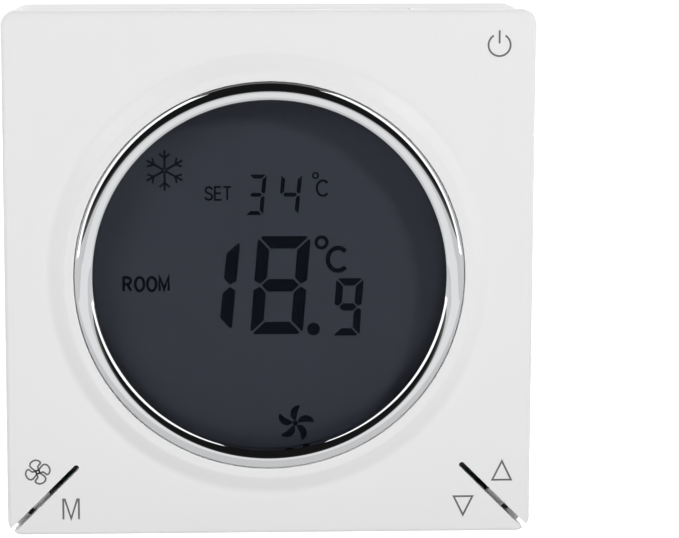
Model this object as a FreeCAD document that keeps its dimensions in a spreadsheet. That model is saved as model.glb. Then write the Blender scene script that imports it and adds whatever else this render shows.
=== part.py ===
"""Wall thermostat for a fan coil: a square snap-on front with a round display, over a base in a wall box.

The row frame: +X right and +Z up as a person sees the thermostat on the wall, and +Y into the wall.
The origin is the centre of the base's wall face, so the front lies at negative Y and the box in the wall
at positive Y. All sizes are millimetres. The driving dimensions are in the spreadsheet "dims"; every piece
is an object whose sizes are bound to its cells.
"""

import FreeCAD
import Part
import Sketcher

import math
import os

DIMENSIONS = [
    # alias, value, what it is
    ("face_width", 86.0, "side of the square front plate"),
    ("face_depth", 18.0, "wall to the flat of the front plate"),
    ("face_corner", 2.4, "corner radius of the front plate"),
    ("edge_round", 0.8, "rounding of the front plate's front edge"),
    ("plate_wall", 2.0, "thickness of the front plate"),
    ("skirt_depth", 4.0, "depth of the front plate's edge"),
    ("skirt_wall", 1.5, "wall of the front plate's edge"),
    ("bezel_base", 36.3, "radius where the round bezel rises from the flat"),
    ("bezel_top", 33.2, "radius where the bezel's slope ends"),
    ("bezel_rise", 1.3, "height of the bezel over the flat"),
    ("ring_outer", 31.6, "outer radius of the bright ring"),
    ("ring_inner", 28.7, "inner radius of the bright ring"),
    ("ring_shoulder", 1.40, "height of the ring's outer edge over the flat"),
    ("ring_brink", 1.51, "height of the ring's inner edge over the flat"),
    ("ring_round", 1.9, "radius of the ring's rounded crest in section"),
    ("ring_gap", 0.12, "clearance round the ring and the lens"),
    ("lens_radius", 29.6, "radius of the lens"),
    ("lens_sink", 0.6, "lens front behind the flat of the plate"),
    ("lens_thick", 1.4, "thickness of the lens"),
    ("gasket_thick", 0.5, "foam ring behind the lens"),
    ("slot_width", 0.9, "width of the slots between the corner keys"),
    ("slot_end", 31.35, "inner end of a slot, along each axis"),
    ("hinge_near", 32.2, "hinge line's end on the slot, along each axis"),
    ("hinge_far", 17.0, "hinge line's end on the plate's side"),
    ("power_hinge", 22.4, "end of the power key's hinge line on the side"),
    ("hinge_relief", 6.0, "lean of the groove behind a hinge line, in degrees"),
    ("key_far", 38.0, "switch centre along the key's own side"),
    ("key_near", 34.0, "switch centre along the other side"),
    ("power_key_at", 37.2, "power switch centre along each axis"),
    ("pusher_radius", 1.2, "radius of the post behind a key"),
    ("pusher_gap", 0.05, "clearance between post and switch stem"),
    ("trap_front", 2.8, "light trap behind the face"),
    ("trap_wall", 0.8, "thickness of the light trap"),
    ("trap_start", 5.4, "slot's inner end to the light trap, along each axis"),
    ("trap_length", 3.2, "length of the light trap"),
    ("frame_corner", 4.0, "corner radius of the mid frame"),
    ("reveal", 0.7, "gap between the plate's edge and the mid frame"),
    ("rim_inset", 1.8, "step from the mid frame's side to its rim"),
    ("rim_wall", 1.0, "thickness of the rim"),
    ("rim_height", 1.7, "height of the rim over the mid frame's side"),
    ("wall_gap", 0.4, "gap between the mid frame and the wall"),
    ("floor_thick", 1.5, "thickness of the mid frame's floor"),
    ("flange_width", 82.0, "side of the base flange"),
    ("flange_thick", 3.0, "thickness of the base flange"),
    ("flange_gap", 0.7, "gap between the flange and the mid frame's floor"),
    ("box_width", 50.0, "width of the box that goes into the wall"),
    ("box_height", 58.0, "height of the box that goes into the wall"),
    ("box_depth", 26.0, "depth of the box behind the wall face"),
    ("box_wall", 1.6, "wall of the box"),
    ("screw_pitch", 60.0, "pitch of the two mounting screws"),
    ("wall_slot_wide", 4.2, "width of the mounting slots"),
    ("wall_slot_long", 8.0, "length of the mounting slots"),
    ("spare_at", 31.0, "spare fixing holes from the middle, along each axis"),
    ("spare_radius", 2.1, "radius of the spare fixing holes"),
    ("pad_wall", 1.6, "flange thickness under a screw head"),
    ("screw_radius", 1.5, "outer radius of a mounting screw's thread"),
    ("screw_root", 1.25, "root radius of a mounting screw's thread"),
    ("screw_head", 2.8, "radius of a mounting screw's head"),
    ("screw_length", 25.2, "whole length of a mounting screw"),
    ("board_width", 79.6, "side of the control board"),
    ("board_thick", 1.2, "thickness of the control board"),
    ("board_front", 9.3, "control board's front to the wall face"),
    ("cell_width", 61.0, "side of the display glass"),
    ("cell_front", 14.15, "display glass front to the wall face"),
    ("glass_thick", 1.1, "thickness of each display glass"),
    ("ledge", 2.5, "contact ledge of the display's front glass"),
    ("film_thick", 0.2, "thickness of each polariser"),
    ("holder_width", 66.0, "side of the display holder"),
    ("holder_front", 15.4, "display holder's front to the wall face"),
    ("holder_opening", 29.3, "radius of the holder's round opening"),
    ("holder_lip", 1.0, "thickness of the holder's front lip"),
    ("tact_wide", 3.2, "short side of a tact switch"),
    ("tact_long", 4.2, "long side of a tact switch"),
    ("tact_height", 2.5, "height of a tact switch body"),
    ("stem_radius", 1.0, "radius of a switch stem"),
    ("stem_top", 13.6, "stem's end to the wall face"),
    ("post_along", 37.5, "module screw's place across"),
    ("post_up", 10.0, "module screw's place up and down"),
    ("post_radius", 2.4, "radius of the screw posts"),
    ("boss_radius", 3.2, "radius of the mid frame's screw bosses"),
    ("screw_way", 1.2, "radius of the module screws' clearance holes"),
    ("cap_radius", 1.9, "radius of a module screw's head"),
    ("pilot_radius", 1.05, "radius of the screw pilot holes"),
    ("thread_radius", 0.95, "radius of a module screw's shank"),
    ("pin_pitch", 2.54, "pitch of the board-to-board pins"),
    ("pin_side", 0.64, "side of a board-to-board pin"),
    ("pin_grip", 0.06, "pin's clearance in its header"),
    ("pin_play", 0.3, "pin's clearance in the socket"),
    ("pin_tip", 0.1, "pin's soldered end in front of the board"),
    ("pin_end", 1.6, "pin's free end behind the wall face"),
    ("header_depth", 2.5, "depth of the pin header"),
    ("socket_front", 2.3, "socket's front to the wall face"),
    ("socket_bottom", 3.0, "bottom of the socket's ways"),
    ("header_up", 20.0, "height of the board-to-board pins over the centre"),
    ("power_front", 6.0, "power board's front behind the wall face"),
    ("power_thick", 1.6, "thickness of the power board"),
    ("terminal_pitch", 5.08, "pitch of the wire terminals"),
    ("terminal_low", 28.2, "underside of the terminal block below the centre"),
    ("terminal_height", 10.6, "height of the terminal block"),
    ("terminal_back", 25.2, "rear face of the terminal block"),
    ("vent_long", 3.4, "length of a vent slot"),
    ("vent_wide", 1.2, "width of a vent slot"),
    ("snug", 0.05, "clearance between pieces that rest on each other"),
    ("relay_wide", 7.2, "width of a relay"),
    ("relay_tall", 20.5, "length of a relay"),
    ("relay_deep", 15.3, "height of a relay over the board"),
]

TERMINALS = 8
PIN_COLUMNS = 5
RELAYS = 4

doc = FreeCAD.newDocument("wall_thermostat")
sheet = doc.addObject("Spreadsheet::Sheet", "dims")
pieces = []


class Size(float):
    """A length that also knows the spreadsheet expression it comes from."""

    def __new__(cls, value, text):
        made = super().__new__(cls, value)
        made.text = text
        return made

    def joined(self, sign, other, value, swapped=False):
        theirs = other.text if isinstance(other, Size) else repr(float(other))
        pair = (theirs, self.text) if swapped else (self.text, theirs)
        return Size(value, f"({pair[0]} {sign} {pair[1]})")

    def __add__(self, other):
        return self.joined("+", other, float(self) + float(other))

    def __radd__(self, other):
        return self.joined("+", other, float(other) + float(self), True)

    def __sub__(self, other):
        return self.joined("-", other, float(self) - float(other))

    def __rsub__(self, other):
        return self.joined("-", other, float(other) - float(self), True)

    def __mul__(self, other):
        return self.joined("*", other, float(self) * float(other))

    def __rmul__(self, other):
        return self.joined("*", other, float(other) * float(self), True)

    def __truediv__(self, other):
        return self.joined("/", other, float(self) / float(other))

    def __neg__(self):
        return self * -1


class Dims:
    """The spreadsheet's cells, as sizes with the alias for a name."""


dims = Dims()


def fill_sheet():
    for row, (alias, value, note) in enumerate(DIMENSIONS, start=1):
        sheet.set(f"A{row}", alias)
        sheet.set(f"B{row}", str(value))
        sheet.set(f"C{row}", note)
        sheet.setAlias(f"B{row}", alias)
        setattr(dims, alias, Size(value, f"dims.{alias}"))
    doc.recompute()


def bind(thing, prop, size):
    """Binds a property to a size's expression, or sets it where it is a plain number."""
    if isinstance(size, Size):
        thing.setExpression(prop, size.text)
    elif "." in prop:
        thing.setExpression(prop, repr(float(size)))
    else:
        setattr(thing, prop, size)


# ---- sketches -------------------------------------------------------------------------------------------


def fix_point(sketch, geometry, end, u, v):
    """Holds a sketch point at (u, v) from the sketch's origin."""
    for kind, value, axis in (("DistanceX", u, -2), ("DistanceY", v, -1)):
        if abs(value) < 1e-9:
            sketch.addConstraint(Sketcher.Constraint("PointOnObject", geometry, end, axis))
            continue
        index = sketch.addConstraint(Sketcher.Constraint(kind, -1, 1, geometry, end, float(value)))
        if isinstance(value, Size):
            sketch.setExpression(f"Constraints[{index}]", value.text)


def bowed(start, end, radius):
    """The shorter arc between two points; a positive radius bows to the right of the way."""
    across = end - start
    right = FreeCAD.Vector(across.y, -across.x, 0).normalize()
    half = across.Length / 2
    inward = math.sqrt(max(radius * radius - half * half, 0.0))
    centre = (start + end) / 2 - right * math.copysign(inward, radius)
    angles = [math.atan2(p.y - centre.y, p.x - centre.x) for p in (start, end)]
    if radius < 0:
        angles.reverse()
    return Part.ArcOfCircle(Part.Circle(centre, FreeCAD.Vector(0, 0, 1), abs(radius)), *angles)


def outline(points, arcs=None):
    """A closed outline through points; arcs gives the radius of the stretch that leaves a point."""
    arcs = arcs or {}

    def draw(sketch):
        count = len(points)
        first = sketch.GeometryCount
        for i, start in enumerate(points):
            end = points[(i + 1) % count]
            a = FreeCAD.Vector(float(start[0]), float(start[1]), 0)
            b = FreeCAD.Vector(float(end[0]), float(end[1]), 0)
            if i not in arcs:
                sketch.addGeometry(Part.LineSegment(a, b), False)
                continue
            sketch.addGeometry(bowed(a, b, float(arcs[i])), False)
        ends = [curve_ends(sketch, first + i, points[i]) for i in range(count)]
        for i in range(count):
            after = (i + 1) % count
            sketch.addConstraint(
                Sketcher.Constraint("Coincident", first + i, ends[i][1], first + after, ends[after][0])
            )
            fix_point(sketch, first + i, ends[i][0], *points[i])
            if i in arcs:
                size = abs(float(arcs[i]))
                index = sketch.addConstraint(Sketcher.Constraint("Radius", first + i, size))
                if isinstance(arcs[i], Size):
                    text = arcs[i].text if float(arcs[i]) > 0 else f"-1 * {arcs[i].text}"
                    sketch.setExpression(f"Constraints[{index}]", text)

    return draw


def curve_ends(sketch, geometry, start):
    """(vertex at start, vertex at end): an arc's own direction can run against the outline's."""
    curve = sketch.Geometry[geometry]
    near = (curve.StartPoint - FreeCAD.Vector(float(start[0]), float(start[1]), 0)).Length
    return (1, 2) if near < 1e-6 else (2, 1)


def ring_of(u, v, radius):
    """A circle outline."""

    def draw(sketch):
        centre = FreeCAD.Vector(float(u), float(v), 0)
        index = sketch.addGeometry(Part.Circle(centre, FreeCAD.Vector(0, 0, 1), float(radius)), False)
        fix_point(sketch, index, 3, u, v)
        held = sketch.addConstraint(Sketcher.Constraint("Radius", index, float(radius)))
        if isinstance(radius, Size):
            sketch.setExpression(f"Constraints[{held}]", radius.text)

    return draw


def rectangle(u, v, width, height, radius=None):
    """A rectangle round (u, v), with rounded corners where radius is given."""
    left, right = u - width / 2, u + width / 2
    low, high = v - height / 2, v + height / 2
    if radius is None:
        return outline([(left, low), (right, low), (right, high), (left, high)])
    points = [
        (left + radius, low), (right - radius, low), (right, low + radius), (right, high - radius),
        (right - radius, high), (left + radius, high), (left, high - radius), (left, low + radius),
    ]  # fmt: skip
    return outline(points, {1: radius, 3: radius, 5: radius, 7: radius})


def long_hole(u, v, length, width, upright=False):
    """A slot with round ends, along the sketch's first axis, or its second where upright."""
    radius = width / 2
    low, high = length / -2, length / 2
    points = [
        (low + radius, radius * -1), (high - radius, radius * -1), (high, 0),
        (high - radius, radius), (low + radius, radius), (low, 0),
    ]  # fmt: skip
    turned = [(b * -1, a) if upright else (a, b) for a, b in points]
    return outline([(u + a, v + b) for a, b in turned], {1: radius, 2: radius, 4: radius, 5: radius})


# ---- pieces built from sketches ----------------------------------------------------------------------


class Moulding:
    """A PartDesign body. Its depths are Y coordinates, and a front is always the lower Y."""

    def __init__(self, label):
        self.body = doc.addObject("PartDesign::Body", label)
        self.body.Label = label
        self.label = label
        self.count = 0

    def sketch(self, role, offset, *drawings):
        plane = next(f for f in self.body.Origin.OriginFeatures if f.Role == role)
        self.count += 1
        sketch = self.body.newObject("Sketcher::SketchObject", f"{self.label}_sketch_{self.count}")
        sketch.AttachmentSupport = [(plane, "")]
        sketch.MapMode = "FlatFace"
        bind(sketch, "AttachmentOffset.Base.z", offset)
        for draw in drawings:
            draw(sketch)
        return sketch

    def feature(self, kind, sketch):
        made = self.body.newObject(kind, f"{self.label}_{kind.split('::')[1].lower()}_{self.count}")
        made.Profile = sketch
        return made

    def pad(self, front, back, *drawings):
        """Adds the outlines' inside between two depths."""
        made = self.feature("PartDesign::Pad", self.sketch("XZ_Plane", -back, *drawings))
        bind(made, "Length", back - front)
        return self

    def pocket(self, front, back, *drawings):
        """Takes the outlines' inside away between two depths."""
        made = self.feature("PartDesign::Pocket", self.sketch("XZ_Plane", -front, *drawings))
        bind(made, "Length", back - front)
        return self

    def side_pocket(self, low, high, *drawings):
        """Takes outlines drawn in X and Y away between two heights."""
        made = self.feature("PartDesign::Pocket", self.sketch("XY_Plane", high, *drawings))
        bind(made, "Length", high - low)
        return self

    def turn(self, *drawings, kind="PartDesign::Revolution"):
        """Turns outlines of (radius, depth) round the Y axis."""
        sketch = self.sketch("XY_Plane", 0.0, *drawings)
        made = self.feature(kind, sketch)
        made.ReferenceAxis = (sketch, ["V_Axis"])
        made.Angle = 360.0
        return self

    def fillet(self, radius, wanted):
        """Rounds the edges that wanted picks by their middle point."""
        doc.recompute()
        base = self.body.Tip
        names = [
            f"Edge{i}"
            for i, edge in enumerate(base.Shape.Edges, start=1)
            if wanted(edge.valueAt((edge.FirstParameter + edge.LastParameter) / 2))
        ]
        self.count += 1
        made = self.body.newObject("PartDesign::Fillet", f"{self.label}_fillet_{self.count}")
        made.Base = (base, names)
        bind(made, "Radius", radius)
        return self


# ---- primitives and booleans ------------------------------------------------------------------------


def keep(thing, label=None):
    """Marks an object as a sub-part; its label names its file."""
    thing.Label = label or thing.Label
    pieces.append(thing)
    return thing


def block(name, across, depth, up):
    """A box given by its low and high X, Y and Z."""
    made = doc.addObject("Part::Box", name)
    for side, corner, (low, high) in zip(("Length", "Width", "Height"), "xyz", (across, depth, up)):
        bind(made, side, high - low)
        bind(made, f"Placement.Base.{corner}", low)
    return made


def rod(name, x, z, front, back, radius, far_radius=None):
    """A cylinder along Y, or a cone where far_radius gives its back radius."""
    made = doc.addObject("Part::Cone" if far_radius is not None else "Part::Cylinder", name)
    made.Placement.Rotation = FreeCAD.Rotation(FreeCAD.Vector(1, 0, 0), -90)
    if far_radius is None:
        bind(made, "Radius", radius)
    else:
        bind(made, "Radius1", radius)
        bind(made, "Radius2", far_radius)
    bind(made, "Height", back - front)
    for corner, value in zip("xyz", (x, front, z)):
        bind(made, f"Placement.Base.{corner}", value)
    return made


def fuse(name, *parts):
    made = doc.addObject("Part::MultiFuse", name)
    made.Shapes = list(parts)
    return made


def cut(name, base, tool):
    made = doc.addObject("Part::Cut", name)
    made.Base = base
    made.Tool = tool
    return made


def common(name, base, tool):
    made = doc.addObject("Part::Common", name)
    made.Base = base
    made.Tool = tool
    return made


def group(name, parts):
    """Several separate solids that share one node."""
    made = doc.addObject("Part::Compound", name)
    made.Links = list(parts)
    return made


def spread(count, pitch):
    """Places of count things at one pitch, centred on zero."""
    return [pitch * (i - (count - 1) / 2) for i in range(count)]


def signs():
    return [(x, z) for x in (-1, 1) for z in (-1, 1)]


# ---- front plate and its corner keys ------------------------------------------------------------------

OUTSIDE = 60.0  # beyond the plate's sides, for cutting tools
FORWARD = FreeCAD.Vector(0, 1, 0)  # into the wall


def plate_blank():
    """The whole front moulding: plate, edge skirt, round bezel, ring seat, lens opening and posts."""
    d = dims
    face, inner = -d.face_depth, d.plate_wall - d.face_depth
    skirt_end = d.skirt_depth - d.face_depth
    hollow = d.face_width - d.skirt_wall * 2
    made = Moulding("front_plate_blank")
    made.pad(face, skirt_end, rectangle(0, 0, d.face_width, d.face_width, d.face_corner))
    made.pocket(inner, skirt_end, rectangle(0, 0, hollow, hollow, d.face_corner - d.skirt_wall))
    made.fillet(d.edge_round, lambda p: abs(p.y - float(face)) < 1e-6)
    top = face - d.bezel_rise
    blend = (d.bezel_base - d.bezel_top) / 2
    middle = d.bezel_top + blend
    # the slope is two tangent arcs, hollow at the foot and full at the shoulder
    radius = (blend * blend + (d.bezel_rise / 2) * (d.bezel_rise / 2)) / d.bezel_rise
    made.turn(
        outline(
            [
                (0, inner), (d.bezel_base, inner), (d.bezel_base, face),
                (middle, face - d.bezel_rise / 2), (d.bezel_top, top), (0, top),
            ],  # fmt: skip
            {2: radius, 3: radius * -1},
        )
    )
    seat = d.lens_sink - d.face_depth
    made.pocket(top, seat, ring_of(0, 0, d.ring_outer + d.ring_gap))
    made.pocket(top, inner, ring_of(0, 0, d.lens_radius + d.ring_gap))
    for x, z in signs():
        post = ring_of(d.post_along * x, d.post_up * z, d.post_radius)
        made.pad(inner, -d.board_front - d.pusher_gap, post)
    for x, z in signs():
        pilot = ring_of(d.post_along * x, d.post_up * z, d.pilot_radius)
        made.pocket(inner + 1.0, -d.board_front, pilot)
    return made.body


def unit(x, z):
    return FreeCAD.Vector(x, 0, z).normalize()


def placed_box(name, base, axes, sizes):
    """A box from a corner, along three axes given as (first, depth, third)."""
    made = doc.addObject("Part::Box", name)
    for side, size in zip(("Length", "Width", "Height"), sizes):
        bind(made, side, size)
    made.Placement = FreeCAD.Placement(base, FreeCAD.Rotation(*axes, "XYZ"))
    return made


def diagonal_box(name, side, start, length, front, depth, offsets):
    """A box along the slot's line in a lower corner; offsets are across it, towards the side key."""
    first = unit(side, -1)
    third = first.cross(FORWARD)
    low = min(side * offsets[0], side * offsets[1])
    base = FreeCAD.Vector(side * start, front, -start) + third * low
    return placed_box(name, base, (first, FORWARD, third), (length, depth, offsets[1] - offsets[0]))


def slot_tool(name, side):
    """Cuts the slot between two keys, with its round inner end."""
    half = float(dims.slot_width) / 2
    centre = dims.slot_end + dims.slot_width / 2 / math.sqrt(2)
    front = -float(dims.face_depth) - 1
    cutter = diagonal_box(f"{name}_run", side, float(centre), OUTSIDE, front, 8.0, (-half, half))
    end = rod(f"{name}_end", centre * side, -centre, front, front + 8.0, dims.slot_width / 2)
    return fuse(name, cutter, end)


def hinge_tool(name, point, outward, lean):
    """The space beyond a hinge line on the plate's front, leaning away from it behind by some degrees."""
    away = unit(*outward)
    angle = math.radians(lean)
    depth = FORWARD * math.cos(angle) + away * math.sin(angle)
    away = away * math.cos(angle) - FORWARD * math.sin(angle)
    along = depth.cross(away)
    corner = FreeCAD.Vector(float(point[0]), -float(dims.face_depth), float(point[1]))
    base = corner - along * OUTSIDE - depth * 3.0
    return placed_box(name, base, (along, depth, away), (OUTSIDE * 2, 9.0, OUTSIDE))


def side_hinge(side, swap):
    """A side key's hinge line: a point on it, and the direction across it to the corner."""
    d = dims
    point, other = (-d.hinge_near, -d.hinge_near), (-d.face_width / 2, -d.hinge_far)
    outward = (-float(other[1] - point[1]), float(other[0] - point[0]))
    if swap:
        outward = (outward[1], outward[0])
    return (point[0] * -side, point[1]), (outward[0] * -side, outward[1])


def power_hinge():
    centre = (dims.face_width / 2 + dims.power_hinge) / 2
    return (centre, centre), (1, 1)


def hinges():
    """The five keys' hinge lines."""
    return {
        "power": power_hinge(),
        "fan": side_hinge(-1, False),
        "mode": side_hinge(-1, True),
        "down": side_hinge(1, True),
        "up": side_hinge(1, False),
    }


def beside_slot(name, key):
    """Everything on one key's own side of its slot."""
    side = -1 if key in ("fan", "mode") else 1
    edge = float(dims.slot_width) / 2
    reach = (edge, OUTSIDE) if key in ("fan", "up") else (-OUTSIDE, -edge)
    return diagonal_box(name, side, 10.0, OUTSIDE * 2, -float(dims.face_depth) - 1, 8.0, reach)


def front_plate(blank):
    """The blank without the five corners."""
    body = blank
    for name, (point, outward) in hinges().items():
        corner = hinge_tool(f"{name}_opening", point, outward, 0.0)
        if name != "power":
            corner = common(f"{name}_opening_side", corner, beside_slot(f"{name}_opening_bound", name))
        body = cut(f"front_without_{name}", body, corner)
    slots = fuse("slots", slot_tool("slot_left", -1), slot_tool("slot_right", 1))
    return keep(cut("front_plate", body, slots))


def pusher(name, x, z):
    """The post behind a key that works its switch."""
    inner = dims.plate_wall - dims.face_depth
    return rod(name, x, z, inner - 0.5, -dims.stem_top - dims.pusher_gap, dims.pusher_radius)


def light_trap(name, side):
    """A tongue behind the slot, carried by the side key, so that little light shows through."""
    d = dims
    start = float(d.slot_end + d.trap_start)
    front = float(d.trap_front - d.face_depth)
    inner = float(d.plate_wall - d.face_depth) - 0.3
    length = float(d.trap_length)
    tongue = diagonal_box(f"{name}_tongue", side, start, length, front, d.trap_wall, (-0.9, 1.5))
    web = diagonal_box(f"{name}_web", side, start, length, inner, front - inner + 0.2, (0.8, 1.5))
    return [tongue, web]


def key_switches():
    """(name, x, z, whether the switch lies across) of the five switches."""
    d = dims
    return [
        ("power", d.power_key_at, d.power_key_at, True),
        ("fan", -d.key_far, -d.key_near, False),
        ("mode", -d.key_near, -d.key_far, True),
        ("down", d.key_near, -d.key_far, True),
        ("up", d.key_far, -d.key_near, False),
    ]


def keys(blank):
    """The five corner keys: the blank's corners, each with the post that works its switch."""
    lines = hinges()
    for name, x, z, _ in key_switches():
        tool = hinge_tool(f"{name}_beyond", *lines[name], float(dims.hinge_relief))
        corner = common(f"{name}_corner", blank, tool)
        if name != "power":
            corner = common(f"{name}_corner_side", corner, beside_slot(f"{name}_bound", name))
        parts = [corner, pusher(f"{name}_pusher", x, z)]
        if name in ("fan", "up"):
            parts += light_trap(f"{name}_trap", -1 if name == "fan" else 1)
        keep(fuse(f"{name}_key", *parts))


# ---- display ---------------------------------------------------------------------------------------------


def chrome_ring():
    d = dims
    foot = d.lens_sink - d.face_depth - d.snug
    shoulder = -d.face_depth - d.ring_shoulder
    brink = -d.face_depth - d.ring_brink
    points = [(d.ring_inner, foot), (d.ring_outer, foot), (d.ring_outer, shoulder), (d.ring_inner, brink)]
    made = Moulding("chrome_ring").turn(outline(points, {2: -d.ring_round}))
    keep(made.body)


def window_lens():
    d = dims
    front = d.lens_sink - d.face_depth
    keep(Moulding("window_lens").pad(front, front + d.lens_thick, ring_of(0, 0, d.lens_radius)).body)


def lens_gasket():
    d = dims
    front = d.plate_wall - d.face_depth + d.snug
    rings = (ring_of(0, 0, d.lens_radius + 1.9), ring_of(0, 0, d.holder_opening))
    keep(Moulding("lens_gasket").pad(front, front + d.gasket_thick, *rings).body)


def lcd_frame():
    """The black holder that keeps the display and the light guide on the board."""
    d = dims
    lip = d.holder_lip - d.holder_front
    made = Moulding("lcd_frame")
    made.pad(-d.holder_front, -d.board_front - d.snug, rectangle(0, 0, d.holder_width, d.holder_width, 1.5))
    made.pocket(lip, -d.board_front, rectangle(0, 0, d.cell_width + 0.6, d.cell_width + 0.6, 0.8))
    made.pocket(-d.holder_front, lip, ring_of(0, 0, d.holder_opening))
    keep(made.body)


def display_stack():
    """The glass sandwich, its polarisers, the light guide, the reflector and the contact strip."""
    d = dims
    half = d.cell_width / 2
    front = -d.cell_front
    middle = front + d.glass_thick
    back = middle + d.glass_thick
    gap = 0.02
    whole = block("lcd_front_glass", (-half, half), (front, middle), (-half, half))
    rear = block("lcd_rear_glass", (-half, half), (middle, back), (-half + d.ledge, half))
    keep(fuse("lcd_cell", whole, rear))
    view = half - 0.5
    film = d.film_thick
    keep(block("lcd_polarizer_front", (-view, view), (front - gap - film, front - gap), (-view, view)))
    low = -view + d.ledge
    keep(block("lcd_polarizer_rear", (-view, view), (back + gap, back + gap + film), (low, view)))
    guide = back + film + gap * 2 + 0.05
    keep(block("light_guide", (-view, view), (guide, guide + 1.8), (low, 27.6)))
    sheet_front = guide + 1.8 + gap
    keep(block("reflector_sheet", (-view, view), (sheet_front, sheet_front + 0.25), (low, 27.6)))
    strip = (middle + gap, -d.board_front - gap)
    keep(block("zebra_strip", (-view, view), strip, (-half + 0.2, -half + d.ledge - 0.3)))
    lights = []
    for i, x in enumerate(spread(3, 16.0)):
        depth = (-d.board_front - 2.0, -d.board_front - d.snug)
        lights.append(block(f"led_{i}", (x - 1.7, x + 1.7), depth, (27.9, 29.4)))
    keep(group("backlight_leds", lights))


# ---- control board ---------------------------------------------------------------------------------------


def pin_places():
    """(x, z) of the board-to-board pins."""
    rows = spread(2, dims.pin_pitch)
    return [(x, dims.header_up + z) for x in spread(PIN_COLUMNS, dims.pin_pitch) for z in rows]


def control_board():
    d = dims
    front, back = -d.board_front, d.board_thick - d.board_front
    made = Moulding("control_board")
    made.pad(front, back, rectangle(0, 0, d.board_width, d.board_width, 1.0))
    screws = [ring_of(d.post_along * x, d.post_up * z, d.screw_way) for x, z in signs()]
    made.pocket(front, back, *screws)
    made.pocket(front, back, *[ring_of(x, z, d.pin_side * 0.78) for x, z in pin_places()])
    keep(made.body)


def square_bars(name, front, back, side):
    """A square bar at each pin's place."""
    half = side / 2
    return [
        block(f"{name}_{i}", (x - half, x + half), (front, back), (z - half, z + half))
        for i, (x, z) in enumerate(pin_places())
    ]


def pin_shell(name, front, back):
    """The plain block round the pins."""
    wide, tall = dims.pin_pitch * PIN_COLUMNS, dims.pin_pitch * 2
    up = (dims.header_up - tall / 2, dims.header_up + tall / 2)
    return block(name, (wide / -2, wide / 2), (front, back), up)


def board_connector():
    """The pin header, its pins, and the socket on the power board that they slide into."""
    d = dims
    back = d.board_thick - d.board_front
    shell = pin_shell("pin_header_shell", back + d.snug, back + d.header_depth)
    bores = square_bars("header_bore", back - 1.0, back + d.header_depth + 1.0, d.pin_side + d.pin_grip)
    keep(cut("pin_header", shell, fuse("header_bores", *bores)))
    keep(group("header_pins", square_bars("pin", -d.board_front - d.pin_tip, d.pin_end, d.pin_side)))
    socket = pin_shell("socket_shell", -d.socket_front, d.power_front - d.snug)
    ways = square_bars("socket_bore", -d.socket_front - 0.7, d.socket_bottom, d.pin_side + d.pin_play)
    keep(cut("socket_header", socket, fuse("socket_bores", *ways)))


# x, z, width, height and depth of each small part on the control board's back
SMALL_PARTS = (
    (-18.0, -6.0, 4.0, 4.0, 1.5), (-18.0, 4.0, 5.0, 3.0, 1.2), (12.0, -3.0, 2.0, 6.0, 1.8),
    (-4.0, 8.0, 2.0, 1.2, 0.6), (0.0, 8.0, 2.0, 1.2, 0.6), (4.0, 8.0, 2.0, 1.2, 0.6),
    (-10.0, -14.0, 1.2, 2.0, 0.6), (-6.0, -14.0, 1.2, 2.0, 0.6), (-2.0, -14.0, 1.2, 2.0, 0.6),
    (20.0, -16.0, 6.0, 5.0, 1.6), (22.0, 12.0, 4.4, 4.4, 1.6), (12.0, -14.0, 2.9, 1.6, 1.0),
)  # fmt: skip
CHIP = ((-6.0, 4.0), 1.4, (-9.0, 1.0))  # its width, depth and height ranges
SENSOR_UP, SENSOR_RADIUS = -37.4, 1.2  # beside the lower vents


def board_parts():
    """What is soldered to the control board's back, and the sensor by the lower vents."""
    back = float(dims.board_thick - dims.board_front + dims.snug)
    across, deep, up = CHIP
    keep(block("microcontroller", across, (back, back + deep), up))
    made = []
    for i, (x, z, wide, tall, high) in enumerate(SMALL_PARTS):
        across, up = (x - wide / 2, x + wide / 2), (z - tall / 2, z + tall / 2)
        made.append(block(f"passive_{i}", across, (back, back + high), up))
    keep(group("board_passives", made))
    bead = doc.addObject("Part::Sphere", "sensor_bead")
    bead.Radius = SENSOR_RADIUS
    bead.Placement.Base = FreeCAD.Vector(0, back + SENSOR_RADIUS + 0.05, SENSOR_UP)
    keep(bead, "temperature_sensor")


def switches():
    """Tact switches under the keys, with stems that slide in them."""
    d = dims
    front = -d.board_front - d.tact_height
    base = -d.board_front - d.snug
    bodies = []
    for name, x, z, across in key_switches():
        half, other = (d.tact_long / 2, d.tact_wide / 2) if across else (d.tact_wide / 2, d.tact_long / 2)
        case = block(f"{name}_case", (x - half, x + half), (front, base), (z - other, z + other))
        bore = rod(f"{name}_bore", x, z, front - 1.0, base - 0.6, d.stem_radius + d.snug)
        bodies.append(cut(f"{name}_switch", case, bore))
        stem = rod(f"{name}_stem", x, z, -d.stem_top, base - 1.0, d.stem_radius)
        keep(stem)
    keep(group("tact_switches", bodies))


# ---- mid frame --------------------------------------------------------------------------------------------


def hooks():
    """(x, side) of the snap tongues at the top and the bottom."""
    return [(x, side) for x in (-20.0, 20.0) for side in (-1, 1)]


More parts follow.
